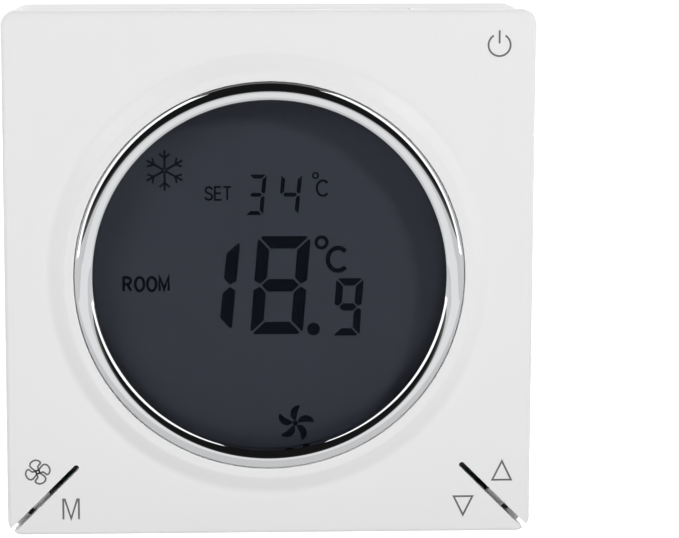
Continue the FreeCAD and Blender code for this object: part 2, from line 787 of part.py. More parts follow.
def mid_frame():
    d = dims
    front = d.skirt_depth + d.reveal - d.face_depth
    top = front - d.rim_height
    back = -d.flange_thick - d.flange_gap
    floor = back - d.floor_thick
    rim = d.face_width - d.rim_inset * 2
    inside = rim - d.rim_wall * 2
    nest = d.flange_width + 0.4
    made = Moulding("mid_frame")
    made.pad(front, -d.wall_gap, rectangle(0, 0, d.face_width, d.face_width, d.frame_corner))
    made.pad(top, floor, rectangle(0, 0, rim, rim, d.frame_corner - d.rim_inset))
    made.pocket(top, floor, rectangle(0, 0, inside, inside, 1.2))
    made.pocket(back, 0.0, rectangle(0, 0, nest, nest, 1.6))
    board = d.board_thick - d.board_front + d.snug
    for x, z in signs():
        made.pad(board, floor, ring_of(d.post_along * x, d.post_up * z, d.boss_radius))
    for x, z in signs():
        made.pocket(board, back, ring_of(d.post_along * x, d.post_up * z, d.screw_way))
        made.pocket(back - 1.8, back, ring_of(d.post_along * x, d.post_up * z, d.cap_radius + 0.2))
    window = rectangle(0, d.header_up, d.pin_pitch * PIN_COLUMNS + 1.6, d.pin_pitch * 2 + 1.6, 0.8)
    made.pocket(floor, back, window)
    for x in spread(9, 5.0):
        made.pocket(floor, back, long_hole(x, -24.0, 16.0, 2.0, upright=True))
    for x, side in hooks():
        made.pocket(-2.95, -0.75, rectangle(x, side * 41.1, 8.0, 1.6))
    for x in spread(9, 6.0):
        made.side_pocket(-44.0, -40.0, long_hole(x, -7.2, d.vent_long, d.vent_wide))
    made.pocket(-1.7, 0.0, rectangle(0, -42.0, 9.0, 2.4))
    keep(made.body)


def cross_drive(name, x, z, depth, reach, half):
    """The two crossed bars that a screwdriver fits."""
    return fuse(
        name,
        block(f"{name}_a", (x - reach, x + reach), depth, (z - half, z + half)),
        block(f"{name}_b", (x - half, x + half), depth, (z - reach, z + reach)),
    )


def module_screws():
    """The four screws from behind that hold the frame, the board and the front plate together."""
    d = dims
    head = -d.flange_thick - d.flange_gap - 1.8 + d.snug
    made = []
    for i, (x, z) in enumerate(signs()):
        across, up = d.post_along * x, d.post_up * z
        cap = rod(f"cap_{i}", across, up, head, head + 1.4, d.cap_radius)
        cross = cross_drive(f"cross_{i}", across, up, (head + 0.7, head + 2.0), 1.1, 0.25)
        shank = rod(f"shank_{i}", across, up, head - 7.6, head + 0.1, d.thread_radius)
        made.append(cut(f"module_screw_{i}", fuse(f"screw_{i}", cap, shank), cross))
    keep(group("module_screws", made))


# ---- base --------------------------------------------------------------------------------

POSTS = ((-20.2, -13.4), (20.2, -13.4))  # where the power board is screwed down


def rear_housing():
    d = dims
    flange, depth = -d.flange_thick, d.box_depth
    inner = depth - d.box_wall
    made = Moulding("rear_housing")
    made.pad(flange, 0.0, rectangle(0, 0, d.flange_width, d.flange_width, 2.0))
    made.pad(-1.0, depth, rectangle(0, 0, d.box_width, d.box_height, 2.0))
    made.pocket(flange, flange + 1.05, rectangle(0, 0, d.box_width, d.box_height, 2.0))
    hollow = rectangle(0, 0, d.box_width - d.box_wall * 2, d.box_height - d.box_wall * 2, 0.8)
    made.pocket(flange, inner, hollow)
    half = d.screw_pitch / 2
    for side in (-1, 1):
        recess = (d.wall_slot_long + 3.6, d.wall_slot_wide + 3.4)
        made.pocket(flange, -d.pad_wall, long_hole(half * side, 0, *recess, upright=True))
        slot = long_hole(half * side, 0, d.wall_slot_long, d.wall_slot_wide, upright=True)
        made.pocket(-d.pad_wall, 0.0, slot)
    for x, z in POSTS:
        made.pad(d.power_front + d.power_thick + d.snug, inner + 0.1, ring_of(x, z, d.post_radius))
    for x, z in POSTS:
        start = d.power_front + d.power_thick
        made.pocket(start, start + 8.0, ring_of(x, z, d.pilot_radius))
    # the terminal block looks out through the back wall and the bottom wall
    wide = d.terminal_pitch * TERMINALS + 1.4
    low, high = -d.box_height / 2 - 1.0, d.terminal_height - d.terminal_low + 0.3
    made.pocket(inner - 0.1, depth, rectangle(0, (low + high) / 2, wide, high - low))
    made.side_pocket(low, -d.box_height / 2 + d.box_wall + 0.2, rectangle(0, 16.75, wide, 18.7))
    for x in spread(7, 5.4):
        made.pocket(inner - 0.1, depth, long_hole(x, 10.0, 22.0, 1.6, upright=True))
    for x, side in hooks():
        made.pocket(flange, 0.0, rectangle(x, side * 39.5, 7.6, 3.2))
    for x, z in signs():
        made.pocket(flange, 0.0, ring_of(d.spare_at * x, d.spare_at * z, d.spare_radius))
    keep(made.body)


def snap_tongues():
    """Four sprung tongues whose hooks stand into the mid frame's wall."""
    made = []
    for i, (x, side) in enumerate(hooks()):
        low, high = sorted((side * 38.0, side * 41.0))
        leaf = block(f"leaf_{i}", (x - 3.7, x + 3.7), (-2.9, -0.1), (low, high))
        low, high = sorted((side * 40.0, side * 41.65))
        hook = block(f"hook_{i}", (x - 3.7, x + 3.7), (-2.6, -1.1), (low, high))
        made.append(fuse(f"tongue_{i}", leaf, hook))
    keep(group("snap_tongues", made))


def base_cover():
    d = dims
    front = -d.flange_thick + d.snug
    made = Moulding("base_cover")
    made.pad(front, front + 0.95, rectangle(0, 0, d.box_width - 0.3, d.box_height - 0.3, 1.9))
    opening = rectangle(0, d.header_up, d.pin_pitch * PIN_COLUMNS + 0.4, d.pin_pitch * 2 + 0.4, 0.3)
    made.pocket(front, front + 0.95, opening)
    keep(made.body)


def power_board():
    d = dims
    front, back = d.power_front, d.power_front + d.power_thick
    made = Moulding("power_board")
    wide, tall = d.box_width - d.box_wall * 2 - 0.8, d.box_height - d.box_wall * 2 - 0.8
    made.pad(front, back, rectangle(0, 0, wide, tall, 0.6))
    made.pocket(front, back, *[ring_of(x, z, d.screw_way) for x, z in POSTS])
    keep(made.body)
    screws = []
    for i, (x, z) in enumerate(POSTS):
        cap = rod(f"power_cap_{i}", x, z, front - 1.35, front - 0.05, 2.0)
        shank = rod(f"power_shank_{i}", x, z, front - 0.2, front + 7.5, d.thread_radius)
        depth = (front - 2.0, front - 0.8)
        cross = block(f"power_cross_{i}", (x - 1.2, x + 1.2), depth, (z - 0.25, z + 0.25))
        screws.append(cut(f"power_screw_{i}", fuse(f"power_pin_{i}", cap, shank), cross))
    keep(group("power_board_screws", screws))


def bar(name, x, y, z, length, radius):
    """A cylinder along X, centred on a point."""
    made = doc.addObject("Part::Cylinder", name)
    made.Radius = radius
    made.Height = length
    made.Placement = FreeCAD.Placement(
        FreeCAD.Vector(x - length / 2, y, z), FreeCAD.Rotation(FreeCAD.Vector(0, 1, 0), 90)
    )
    return made


# each part on the power board: its width, depth behind the board, and height ranges
CORE = ((10.0, 22.0), (1.0, 13.0), (9.0, 21.0))
BOBBIN = ((9.6, 22.4), (0.0, 14.0), (11.5, 18.5))
FILM_BOX = ((7.0, 16.0), (0.0, 11.0), (-15.0, -9.0))
RELAY_LEFT, RELAY_GAP, RELAY_LOW = -22.0, 0.5, 4.5
CANS = ((18.0, 2.4, 12.0, 4.0), (10.4, 1.0, 9.0, 3.15))  # x, z, length and radius
FUSE_BODY = (-10.0, 2.6, -4.0, 17.0, 2.5)  # x, depth, z, length and radius
VARISTOR_DISC = (2.4, 5.2, -8.0, 3.4, 5.0)  # the same


def behind_board(name, across, depth, up):
    """A box whose depths are counted from the power board's back."""
    start = dims.power_front + dims.power_thick + dims.snug
    return block(name, across, (start + depth[0], start + depth[1]), up)


def power_parts():
    """Relays, transformer, capacitors, fuse and varistor, on the power board's back."""
    d = dims
    cases = []
    for i in range(RELAYS):
        x = i * (d.relay_wide + RELAY_GAP) + RELAY_LEFT
        up = (RELAY_LOW, RELAY_LOW + d.relay_tall)
        cases.append(behind_board(f"relay_{i}", (x, x + d.relay_wide), (0.0, d.relay_deep), up))
    keep(group("relays", cases))
    keep(fuse("transformer", behind_board("core", *CORE), behind_board("bobbin", *BOBBIN)))
    start = d.power_front + d.power_thick + d.snug
    cans = [rod(f"can_{i}", x, z, start, start + long, radius) for i, (x, z, long, radius) in enumerate(CANS)]
    keep(group("filter_capacitors", cans))
    for name, (x, depth, z, length, radius) in (("fuse", FUSE_BODY), ("varistor", VARISTOR_DISC)):
        keep(bar(f"{name}_body", x, float(start) + depth, z, length, radius), name)
    keep(behind_board("film_box", *FILM_BOX), "film_capacitor")


def terminals():
    """The wire terminals: the block, a metal clamp in each way, and the screws that close them."""
    d = dims
    front, back = d.power_front + d.power_thick + d.snug, d.terminal_back
    low = -d.terminal_low
    high = low + d.terminal_height
    centre = (low + high) / 2
    wide = d.terminal_pitch * TERMINALS + 0.8
    made = Moulding("terminal_block")
    made.pad(front, back, rectangle(0, centre, wide, d.terminal_height, 0.3))
    places = spread(TERMINALS, d.terminal_pitch)
    for x in places:
        made.pocket(20.0, back, ring_of(x, centre, 2.0))
        made.side_pocket(low, high - 1.4, rectangle(x, 19.4, 4.0, 4.4))
    keep(made.body)
    clamps, screws = [], []
    for i, x in enumerate(places):
        shell = block(f"clamp_{i}", (x - 1.8, x + 1.8), (17.5, 21.3), (low + 1.2, high - 2.0))
        way = block(f"clamp_way_{i}", (x - 1.3, x + 1.3), (18.2, 20.5), (low, high))
        hole = rod(f"clamp_hole_{i}", x, centre, 20.0, 22.0, 1.3)
        clamps.append(cut(f"clamp_cut_{i}", shell, fuse(f"clamp_ways_{i}", way, hole)))
        head = rod(f"terminal_head_{i}", x, centre, 22.9, 24.4, 1.85)
        shank = rod(f"terminal_shank_{i}", x, centre, 19.6, 23.0, 1.2)
        groove = block(f"terminal_groove_{i}", (x - 2.0, x + 2.0), (23.7, 25.0), (centre - 0.3, centre + 0.3))
        screws.append(cut(f"terminal_screw_{i}", fuse(f"terminal_pin_{i}", head, shank), groove))
    keep(group("terminal_clamps", clamps))
    keep(group("terminal_screws", screws))


def mounting_screws():
    """The two raised countersunk screws that hold the base to the wall box."""
    d = dims
    widest = -d.pad_wall - (d.screw_head - d.wall_slot_wide / 2) - d.snug
    made = []
    for i, side in enumerate((-1, 1)):
        x = d.screw_pitch / 2 * side
        neck = d.screw_root + 0.05
        dome = rod(f"dome_{i}", x, 0.0, widest - 0.55, widest, d.screw_head * 0.55, d.screw_head)
        cone = rod(f"cone_{i}", x, 0.0, widest, widest + d.screw_head - neck, d.screw_head, neck)
        plain = rod(f"neck_{i}", x, 0.0, widest + 0.5, 0.6, neck)
        thread = rod(f"thread_{i}", x, 0.0, 0.5, widest + d.screw_length, d.screw_radius)
        shaft = fuse(f"mounting_shaft_{i}", dome, cone, plain, thread)
        cross = cross_drive(f"drive_{i}", x, 0.0, (widest - 1.0, widest + 0.3), 1.4, 0.3)
        made.append(cut(f"mounting_screw_{i}", shaft, cross))
    keep(group("mounting_screws", made))


# ---- build ------------------------------------------------------------------------------------------------


def check_objects():
    """Stops on any object that is invalid, and on any sub-part without a sound shape."""
    for thing in doc.Objects:
        if "Invalid" in thing.State or "Error" in thing.State:
            raise RuntimeError(f"{thing.Name}: {thing.State}")
    for thing in pieces:
        if thing.Shape.isNull() or not thing.Shape.isValid() or not thing.Shape.Solids:
            raise RuntimeError(f"{thing.Label} has no sound shape")


def build():
    fill_sheet()
    blank = plate_blank()
    front_plate(blank)
    keys(blank)
    for make in (
        chrome_ring, window_lens, lens_gasket, lcd_frame, display_stack, control_board, board_connector,
        board_parts, switches, mid_frame, module_screws, rear_housing, snap_tongues, base_cover,
        power_board, power_parts, terminals, mounting_screws,
    ):  # fmt: skip
        make()
    doc.recompute()
    check_objects()
    os.makedirs("parts", exist_ok=True)
    for thing in pieces:
        thing.Shape.exportStep(f"parts/{thing.Label}.step")


build()
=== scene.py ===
"""The looks of the wall thermostat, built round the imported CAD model.

Lengths are millimetres until a mesh is made.
"""

import math

import bmesh
import bpy
from mathutils import Matrix, Vector

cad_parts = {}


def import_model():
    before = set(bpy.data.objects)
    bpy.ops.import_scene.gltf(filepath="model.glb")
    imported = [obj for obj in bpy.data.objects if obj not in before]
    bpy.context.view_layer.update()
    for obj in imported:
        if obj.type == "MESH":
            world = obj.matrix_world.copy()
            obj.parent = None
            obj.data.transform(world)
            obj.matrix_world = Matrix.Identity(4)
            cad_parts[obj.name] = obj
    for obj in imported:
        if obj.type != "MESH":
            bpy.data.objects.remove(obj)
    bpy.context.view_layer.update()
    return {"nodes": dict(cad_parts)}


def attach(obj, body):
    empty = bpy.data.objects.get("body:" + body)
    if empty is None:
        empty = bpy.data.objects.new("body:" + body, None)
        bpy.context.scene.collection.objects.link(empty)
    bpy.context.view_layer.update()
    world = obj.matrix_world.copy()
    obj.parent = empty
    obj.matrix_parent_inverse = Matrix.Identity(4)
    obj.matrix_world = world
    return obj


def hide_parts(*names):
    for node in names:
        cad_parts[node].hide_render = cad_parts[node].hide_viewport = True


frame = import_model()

MM = 0.001

FACE = -18.0  # front of the plate
HALF = 43.0  # half the plate's side
CORNER = 2.4  # its corner radius
WALL = 1.5  # thickness of its skirt
SKIRT_BACK = -14.0
PLATE_BACK = -16.0  # back of the plate and of the window
SEAT = -17.4  # front of the window, and of the seat that the bright ring stands on
GLASS = -14.37  # front of the display
MARKS = (GLASS - 0.03, GLASS)  # depths of the figures on it
PRINT = (FACE - 0.012, FACE + 0.004)  # depths of the icons on the keys
AXIS = 0.01  # the radius that stands for a lathe's own axis, so that its ends stay closed
NODES = frame["nodes"]
FRONT, BASE = "front_module", "base"


# ---- materials -----------------------------------------------------------------------------------

LOW, HIGH = 0.3, 0.7  # the part of a noise's range that is used


def shader(made):
    return made.node_tree.nodes["Principled BSDF"]


def material(name, color, roughness, metallic=0.0, **sockets):
    """A Principled material with constants on its own sockets."""
    made = bpy.data.materials.new(name)
    made.use_nodes = True
    values = {"Base_Color": (*color, 1.0), "Roughness": roughness, "Metallic": metallic, **sockets}
    for socket, value in values.items():
        shader(made).inputs[socket.replace("_", " ")].default_value = value
    return made


def add(made, kind, **settings):
    """A new node. A setting is one of its sockets, with _ for a space, or else one of its properties."""
    node = made.node_tree.nodes.new(kind)
    for key, value in settings.items():
        socket = key.replace("_", " ")
        if socket in node.inputs:
            node.inputs[socket].default_value = value
        else:
            setattr(node, key, value)
    return node


def link(made, source, output, target, socket):
    made.node_tree.links.new(source.outputs[output], target.inputs[socket])


def coordinates(made, stretch=(1.0, 1.0, 1.0)):
    """Object coordinates in millimetres."""
    where = add(made, "ShaderNodeTexCoord")
    scale = add(made, "ShaderNodeMapping", Scale=[1000.0 * s for s in stretch])
    link(made, where, "Object", scale, "Vector")
    return scale


def noise(made, size, detail=3.0, stretch=(1.0, 1.0, 1.0)):
    """Noise whose features are about size millimetres."""
    node = add(made, "ShaderNodeTexNoise", Scale=1.0 / size, Detail=detail, Roughness=0.6)
    link(made, coordinates(made, stretch), "Vector", node, "Vector")
    return node


def spread(made, source, low, high):
    """Runs the roughness from low to high by a noise."""
    ramp = add(made, "ShaderNodeMapRange", From_Min=LOW, From_Max=HIGH, To_Min=low, To_Max=high)
    link(made, source, "Fac", ramp, "Value")
    link(made, ramp, "Result", shader(made), "Roughness")


def tint(made, source, output, low, high):
    """Colours the surface between two colours by a 0 to 1 value."""
    ramp = add(made, "ShaderNodeValToRGB")
    for stop, position, color in zip(ramp.color_ramp.elements, (LOW, HIGH), (low, high)):
        stop.position, stop.color = position, (*color, 1.0)
    link(made, source, output, ramp, "Fac")
    link(made, ramp, "Color", shader(made), "Base Color")


def bump(made, source, output, height, strength):
    """Bump of a real height in millimetres."""
    node = add(made, "ShaderNodeBump", Strength=strength, Distance=height * MM)
    link(made, source, output, node, "Height")
    link(made, node, "Normal", shader(made), "Normal")


def moulded(name, color, rough, grain, depth, contrast, **sockets):
    """Injection-moulded plastic: a fine grain, a faint mottle, and a roughness that varies a little."""
    made = material(name, color, rough, **sockets)
    low = tuple(c * (1 - contrast) for c in color)
    high = tuple(min(1.0, c * (1 + contrast)) for c in color)
    tint(made, noise(made, 9.0, 2.0), "Fac", low, high)
    spread(made, noise(made, 3.0), rough - 0.04, rough + 0.04)
    bump(made, noise(made, grain, 4.0), "Fac", depth, 0.6)
    return made


def metal(name, color, rough, stretch=(1.0, 1.0, 1.0)):
    """Plated metal with faint drawn or tumbled marks."""
    made = material(name, color, rough, 1.0)
    marks = noise(made, 0.15, 4.0, stretch)
    spread(made, marks, max(0.02, rough - 0.06), rough + 0.1)
    tint(made, noise(made, 2.0), "Fac", tuple(c * 0.92 for c in color), color)
    bump(made, marks, "Fac", 0.002, 0.5)
    return made


def board_material(name):
    """Solder mask over copper runs: the runs show as slightly raised, lighter bands."""
    made = material(name, (0.012, 0.11, 0.05), 0.32, Coat_Weight=0.4)
    black, white = (0.0, 0.0, 0.0, 1.0), (1.0, 1.0, 1.0, 1.0)
    grid = add(
        made, "ShaderNodeTexBrick", offset=0.5, squash=1.0, Scale=0.28, Mortar_Size=0.035,
        Color1=black, Color2=black, Mortar=white,
    )  # fmt: skip
    turn = add(made, "ShaderNodeMapping", Rotation=(math.radians(90), 0.0, 0.0))
    link(made, coordinates(made), "Vector", turn, "Vector")
    link(made, turn, "Vector", grid, "Vector")
    tint(made, grid, "Color", (0.010, 0.095, 0.045), (0.022, 0.17, 0.08))
    bump(made, grid, "Color", 0.03, 0.5)
    return made


white_shell = moulded("white_shell", (0.80, 0.80, 0.80), 0.34, 0.5, 0.0003, 0.002)
white_frame = moulded("white_frame", (0.76, 0.76, 0.765), 0.42, 0.35, 0.006, 0.01)
black_housing = moulded("black_housing", (0.028, 0.028, 0.031), 0.55, 0.3, 0.018, 0.15)
black_part = moulded("black_part", (0.012, 0.012, 0.013), 0.48, 0.25, 0.008, 0.2)
stem_plastic = moulded("stem_plastic", (0.03, 0.03, 0.033), 0.4, 0.2, 0.004, 0.1)
mirror = material("mirror_plating", (0.50, 0.505, 0.515), 0.035, 1.0)
spread(mirror, noise(mirror, 6.0), 0.02, 0.055)
steel = metal("zinc_steel", (0.70, 0.71, 0.72), 0.26)
gold = metal("pin_plating", (0.86, 0.68, 0.34), 0.22, (1.0, 0.1, 1.0))
brass = metal("clamp_brass", (0.80, 0.66, 0.40), 0.3)
green_board = board_material("solder_mask")
ink = moulded("icon_ink", (0.115, 0.115, 0.118), 0.5, 0.2, 0.001, 0.05)
foam = moulded("foam", (0.02, 0.02, 0.02), 0.95, 0.25, 0.08, 0.3)
clear_guide = moulded("guide_acrylic", (0.82, 0.85, 0.86), 0.1, 1.0, 0.001, 0.02, Coat_Weight=0.3)
white_sheet = moulded("reflector", (0.9, 0.9, 0.9), 0.5, 0.4, 0.002, 0.01)
led_case = moulded("led_case", (0.88, 0.86, 0.62), 0.3, 0.3, 0.003, 0.03)
# black chip epoxy, also used as painted shade for the wall screws' cross recesses
chip_black_and_recess_shade = moulded("chip_epoxy_and_recess_shade", (0.02, 0.02, 0.022), 0.5, 0.12, 0.01, 0.2)
relay_case = moulded("relay_case", (0.015, 0.03, 0.075), 0.38, 0.4, 0.006, 0.08)
core_tape = moulded("core_tape", (0.62, 0.44, 0.06), 0.35, 0.8, 0.01, 0.08)
can_sleeve = moulded("can_sleeve", (0.015, 0.02, 0.045), 0.3, 0.9, 0.006, 0.1)
fuse_sleeve = moulded("fuse_sleeve", (0.55, 0.52, 0.42), 0.4, 0.6, 0.006, 0.06)
disc_coat = moulded("disc_coat", (0.02, 0.07, 0.26), 0.3, 1.2, 0.03, 0.1)
film_case = moulded("film_case", (0.68, 0.50, 0.05), 0.35, 0.5, 0.006, 0.06)
terminal_green = moulded("terminal_green", (0.015, 0.20, 0.07), 0.42, 0.35, 0.01, 0.06)
sensor_bead = moulded("sensor_bead", (0.02, 0.015, 0.015), 0.15, 0.6, 0.002, 0.1)
number_paint = moulded("number_paint", (0.78, 0.79, 0.76), 0.6, 0.2, 0.002, 0.03)


def striped(name, light, dark, size):
    """Rubber contact strip: fine conducting layers along X, of about size millimetres."""
    made = material(name, light, 0.7)
    wave = add(made, "ShaderNodeTexWave", bands_direction="X", Scale=0.31 / size)
    link(made, coordinates(made), "Vector", wave, "Vector")
    tint(made, wave, "Fac", dark, light)
    bump(made, wave, "Fac", 0.01, 0.4)
    return made


contact_strip = striped("contact_strip", (0.36, 0.33, 0.33), (0.02, 0.02, 0.02), 0.18)

# the tinted window: mostly seen through, with a polished surface
window_glass = material("smoked_window", (0.003, 0.004, 0.008), 0.03, Alpha=0.37, IOR=1.12)
spread(window_glass, noise(window_glass, 14.0), 0.015, 0.035)

# the unlit display: blue-grey, with the faintest mottle
display_gray = material("display_ground", (0.075, 0.086, 0.105), 0.16, 0.10, IOR=1.15)
tint(display_gray, noise(display_gray, 12.0, 2.0), "Fac", (0.213, 0.234, 0.296), (0.220, 0.242, 0.306))
spread(display_gray, noise(display_gray, 9.0), 0.15, 0.18)

cell_glass = material("cell_glass", (0.10, 0.13, 0.12), 0.06, IOR=1.5)
spread(cell_glass, noise(cell_glass, 8.0), 0.04, 0.08)
segment_dark = moulded("segment_dark", (0.006, 0.009, 0.016), 0.5, 0.4, 0.0005, 0.1, IOR=1.12)
segment_faint = moulded("segment_faint", (0.028, 0.034, 0.048), 0.5, 0.4, 0.0005, 0.1, IOR=1.12)


# ---- mesh building -------------------------------------------------------------------------------


def put(name, data):
    """A new object in the scene."""
    made = bpy.data.objects.new(name, data)
    bpy.context.scene.collection.objects.link(made)
    return made


def put_mesh(name, verts, faces):
    mesh = bpy.data.meshes.new(name)
    mesh.from_pydata(verts, [], faces)
    return put(name, mesh)


def face_outwards(mesh):
    bm = bmesh.new()
    bm.from_mesh(mesh)
    bmesh.ops.recalc_face_normals(bm, faces=bm.faces)
    bm.to_mesh(mesh)
    bm.free()


class Shape:
    """Collects closed solids in millimetres and turns them into one piece."""

    def __init__(self):
        self.verts, self.faces = [], []

    def add(self, verts, faces):
        base = len(self.verts)
        self.verts += [tuple(v) for v in verts]
        self.faces += [[base + i for i in face] for face in faces]
        return self

    def loft(self, loops, ring=False):
        """Skins loops of equal length, capped at both ends unless the loops close on themselves."""
        count = len(loops[0])
        verts = [v for loop in loops for v in loop]
        steps = len(loops) if ring else len(loops) - 1
        faces = []
        for s in range(steps):
            a, b = s * count, ((s + 1) % len(loops)) * count
            faces += [[a + i, a + (i + 1) % count, b + (i + 1) % count, b + i] for i in range(count)]
        if not ring:
            faces.append(list(range(count))[::-1])
            faces.append([(len(loops) - 1) * count + i for i in range(count)])
        return self.add(verts, faces)

    def prism(self, outline, front, back):
        """An outline in X and Z, between two depths."""
        return self.loft([at_depth(outline, y) for y in (front, back)])

    def box(self, across, depth, up, edge):
        """A box with its edges taken off at 45 degrees."""
        near, far = depth
        steps = ((near, edge), (near + edge, 0.0), (far - edge, 0.0), (far, edge))
        return self.loft([at_depth(chamfered(across, up, edge, cut), y) for y, cut in steps])

    def lathe(self, profile, segments, centre=(0.0, 0.0, 0.0), axis="y", ring=True):
        """Turns (radius, along) points round an axis through centre, along Y or X."""
        loops = []
        for radius, along in profile:
            loop = []
            for i in range(segments):
                a = 2 * math.pi * i / segments
                u, v = radius * math.cos(a), radius * math.sin(a)
                point = (u, along, v) if axis == "y" else (along, u, v)
                loop.append(tuple(p + c for p, c in zip(point, centre)))
            loops.append(loop)
        return self.loft(loops, ring)

    def piece(self, name, look, body, sharp=30.0, replaces=(), slot=None):
        """Makes the solids one object, in metres, on the body it rides on."""
        made = put_mesh(name, [[c * MM for c in v] for v in self.verts], self.faces)
        settle(made, look, body, sharp, replaces)


def chamfered(across, up, edge, cut):
    """An eight-sided outline: a rectangle pulled in by cut, with its corners taken off."""
    (left, right), (low, high) = across, up
    left, right, low, high = left + cut, right - cut, low + cut, high - cut
    e = edge * 0.6
    return [
        (left + e, low), (right - e, low), (right, low + e), (right, high - e),
        (right - e, high), (left + e, high), (left, high - e), (left, low + e),
    ]  # fmt: skip


def settle(made, look, body, sharp, replaces):
    """Gives a piece its material, its shading and the body it rides on."""
    mesh = made.data
    face_outwards(mesh)
    mesh.polygons.foreach_set("use_smooth", [True] * len(mesh.polygons))
    mesh.set_sharp_from_angle(angle=math.radians(sharp))
    mesh.materials.clear()
    mesh.materials.append(look)
    modifier = made.modifiers.new("normals", "WEIGHTED_NORMAL")
    modifier.keep_sharp = True
    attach(made, body)
    if replaces:
        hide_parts(*replaces)


def polish(node, look, width):
    """Keeps a CAD node, with its material and the small edge rounding that the solid leaves out."""
    made = NODES[node]
    made.data.materials.clear()
    made.data.materials.append(look)
    weld = made.modifiers.new("weld", "WELD")
    weld.merge_threshold = 0.000002
    flat = made.modifiers.new("flat", "DECIMATE")
    flat.decimate_type = "DISSOLVE"
    flat.angle_limit = math.radians(0.6)
    if width:
        edges = made.modifiers.new("edges", "BEVEL")
        edges.width = width * MM
        edges.segments = 2
        edges.limit_method = "ANGLE"
        edges.angle_limit = math.radians(35)
    made.data.polygons.foreach_set("use_smooth", [True] * len(made.data.polygons))
    normals = made.modifiers.new("normals", "WEIGHTED_NORMAL")
    normals.keep_sharp = True


# ---- outlines ------------------------------------------------------------------------------------


def ellipse(centre, across, up, start, end, count):
    """Points on part of an ellipse, in degrees from +X towards +Z."""
    turns = [math.radians(start + (end - start) * i / (count - 1)) for i in range(count)]
    return [(centre[0] + across * math.cos(a), centre[1] + up * math.sin(a)) for a in turns]


def arc(centre, radius, start, end, count):
    return ellipse(centre, radius, radius, start, end, count)


def rounded_square(half, radius):
    """A square with round corners, its points dense enough to be joined to a circle."""
    reach, side_steps = half - radius, 26
    edge = [(half, reach * (2 * i / side_steps - 1)) for i in range(1, side_steps)]
    made = []
    for quarter in range(4):
        turn = math.radians(90 * quarter)
        for x, z in edge + arc((reach, reach), radius, 0, 90, 10):
            made.append((x * math.cos(turn) - z * math.sin(turn), x * math.sin(turn) + z * math.cos(turn)))
    return made


def at_depth(outline, y):
    return [(x, y, z) for x, z in outline]


def circle_like(outline, radius, y):
    """A circle with a point at the same angle as each point of an outline."""
    turns = [math.atan2(z, x) for x, z in outline]
    return [(radius * math.cos(a), y, radius * math.sin(a)) for a in turns]


def inset(points, gap):
    """A convex or bent outline, anticlockwise, moved inwards by gap."""
    made = []
    for i, point in enumerate(points):
        before, here, after = Vector(points[i - 1]), Vector(point), Vector(points[(i + 1) % len(points)])
        a, b = (here - before).normalized(), (after - here).normalized()
        na, nb = Vector((-a.y, a.x)), Vector((-b.y, b.x))
        mitre = (na + nb) / max(0.2, 1 + na.dot(nb))
        made.append(tuple(here + mitre * gap))
    return made


def anticlockwise(points):
    area = sum(a[0] * b[1] - b[0] * a[1] for a, b in zip(points, points[1:] + points[:1]))
    return points if area > 0 else points[::-1]


def stroke(shape, points, width, depth, closed=False):
    """A flat line of one width along points, as a thin solid between two depths."""
    count, (front, back) = len(points), depth
    loops = []
    for i, point in enumerate(points):
        here, ways = Vector(point), []
        if closed or i:
            ways.append(here - Vector(points[i - 1]))
        if closed or i < count - 1:
            ways.append(Vector(points[(i + 1) % count]) - here)
        normals = [Vector((-w.y, w.x)).normalized() for w in ways]
        mitre = sum(normals, Vector((0, 0))).normalized()
        mitre = mitre / max(0.35, mitre.dot(normals[0]))
        a, b = here + mitre * width / 2, here - mitre * width / 2
        loops.append([(a.x, front, a.y), (b.x, front, b.y), (b.x, back, b.y), (a.x, back, a.y)])
    shape.loft(loops, ring=closed)


# ---- front shell: one moulding with five flexing corners -----------------------------------------

OPENING, RING_SEAT = 29.72, 31.72  # radii of the hole for the window and of the ring's seat
BEZEL_TOP, BEZEL_FOOT, BEZEL_RISE = 33.1, 36.5, 1.3  # its radii, and its height over the face
BEZEL_HEAD, BEZEL_TAIL = 0.14, 0.34  # the parts of its slope that bend at the top and at the foot
EDGE_ROUND = 0.8  # round on the plate's front edge
EDGE_BREAK = 0.12  # small flat on its back edge
HINGE_NEAR = 32.2  # X and Z of the inner end of the lower keys' hinge lines
HINGE_FAR = 17.0  # where those lines meet the plate's side
POWER_HINGE = 22.4  # where the power key's line meets the plate's side
HINGE_FREE = 0.004  # gap in the lower keys' and the power key's hinge lines, so that nothing rubs
KEY_LEAN = 6.0  # degrees, the lean of the keys' faces at the hinge line
SLOT_WIDE, SLOT_END = 0.9, 31.35  # width of the slots, and X and Z of their inner ends
SLOT_EDGE = 0.09  # round on their edges
REACH = 60.0  # longer than any cut across the plate
THROUGH = (FACE - 4.0, -10.0)  # depths that cut right through it
TRAP_START, TRAP_LENGTH = 36.4, 3.6  # the light trap behind a slot


def bezel_fall(t):
    """How far down the bezel's slope is, from 0 to 1, at t along it."""
    near, far = min(t, BEZEL_HEAD), max(0.0, t - 1 + BEZEL_TAIL)
    straight, whole = max(0.0, t - BEZEL_HEAD), 1 - BEZEL_HEAD / 2 - BEZEL_TAIL / 2
    return (near * near / 2 / BEZEL_HEAD + straight - far * far / 2 / BEZEL_TAIL) / whole


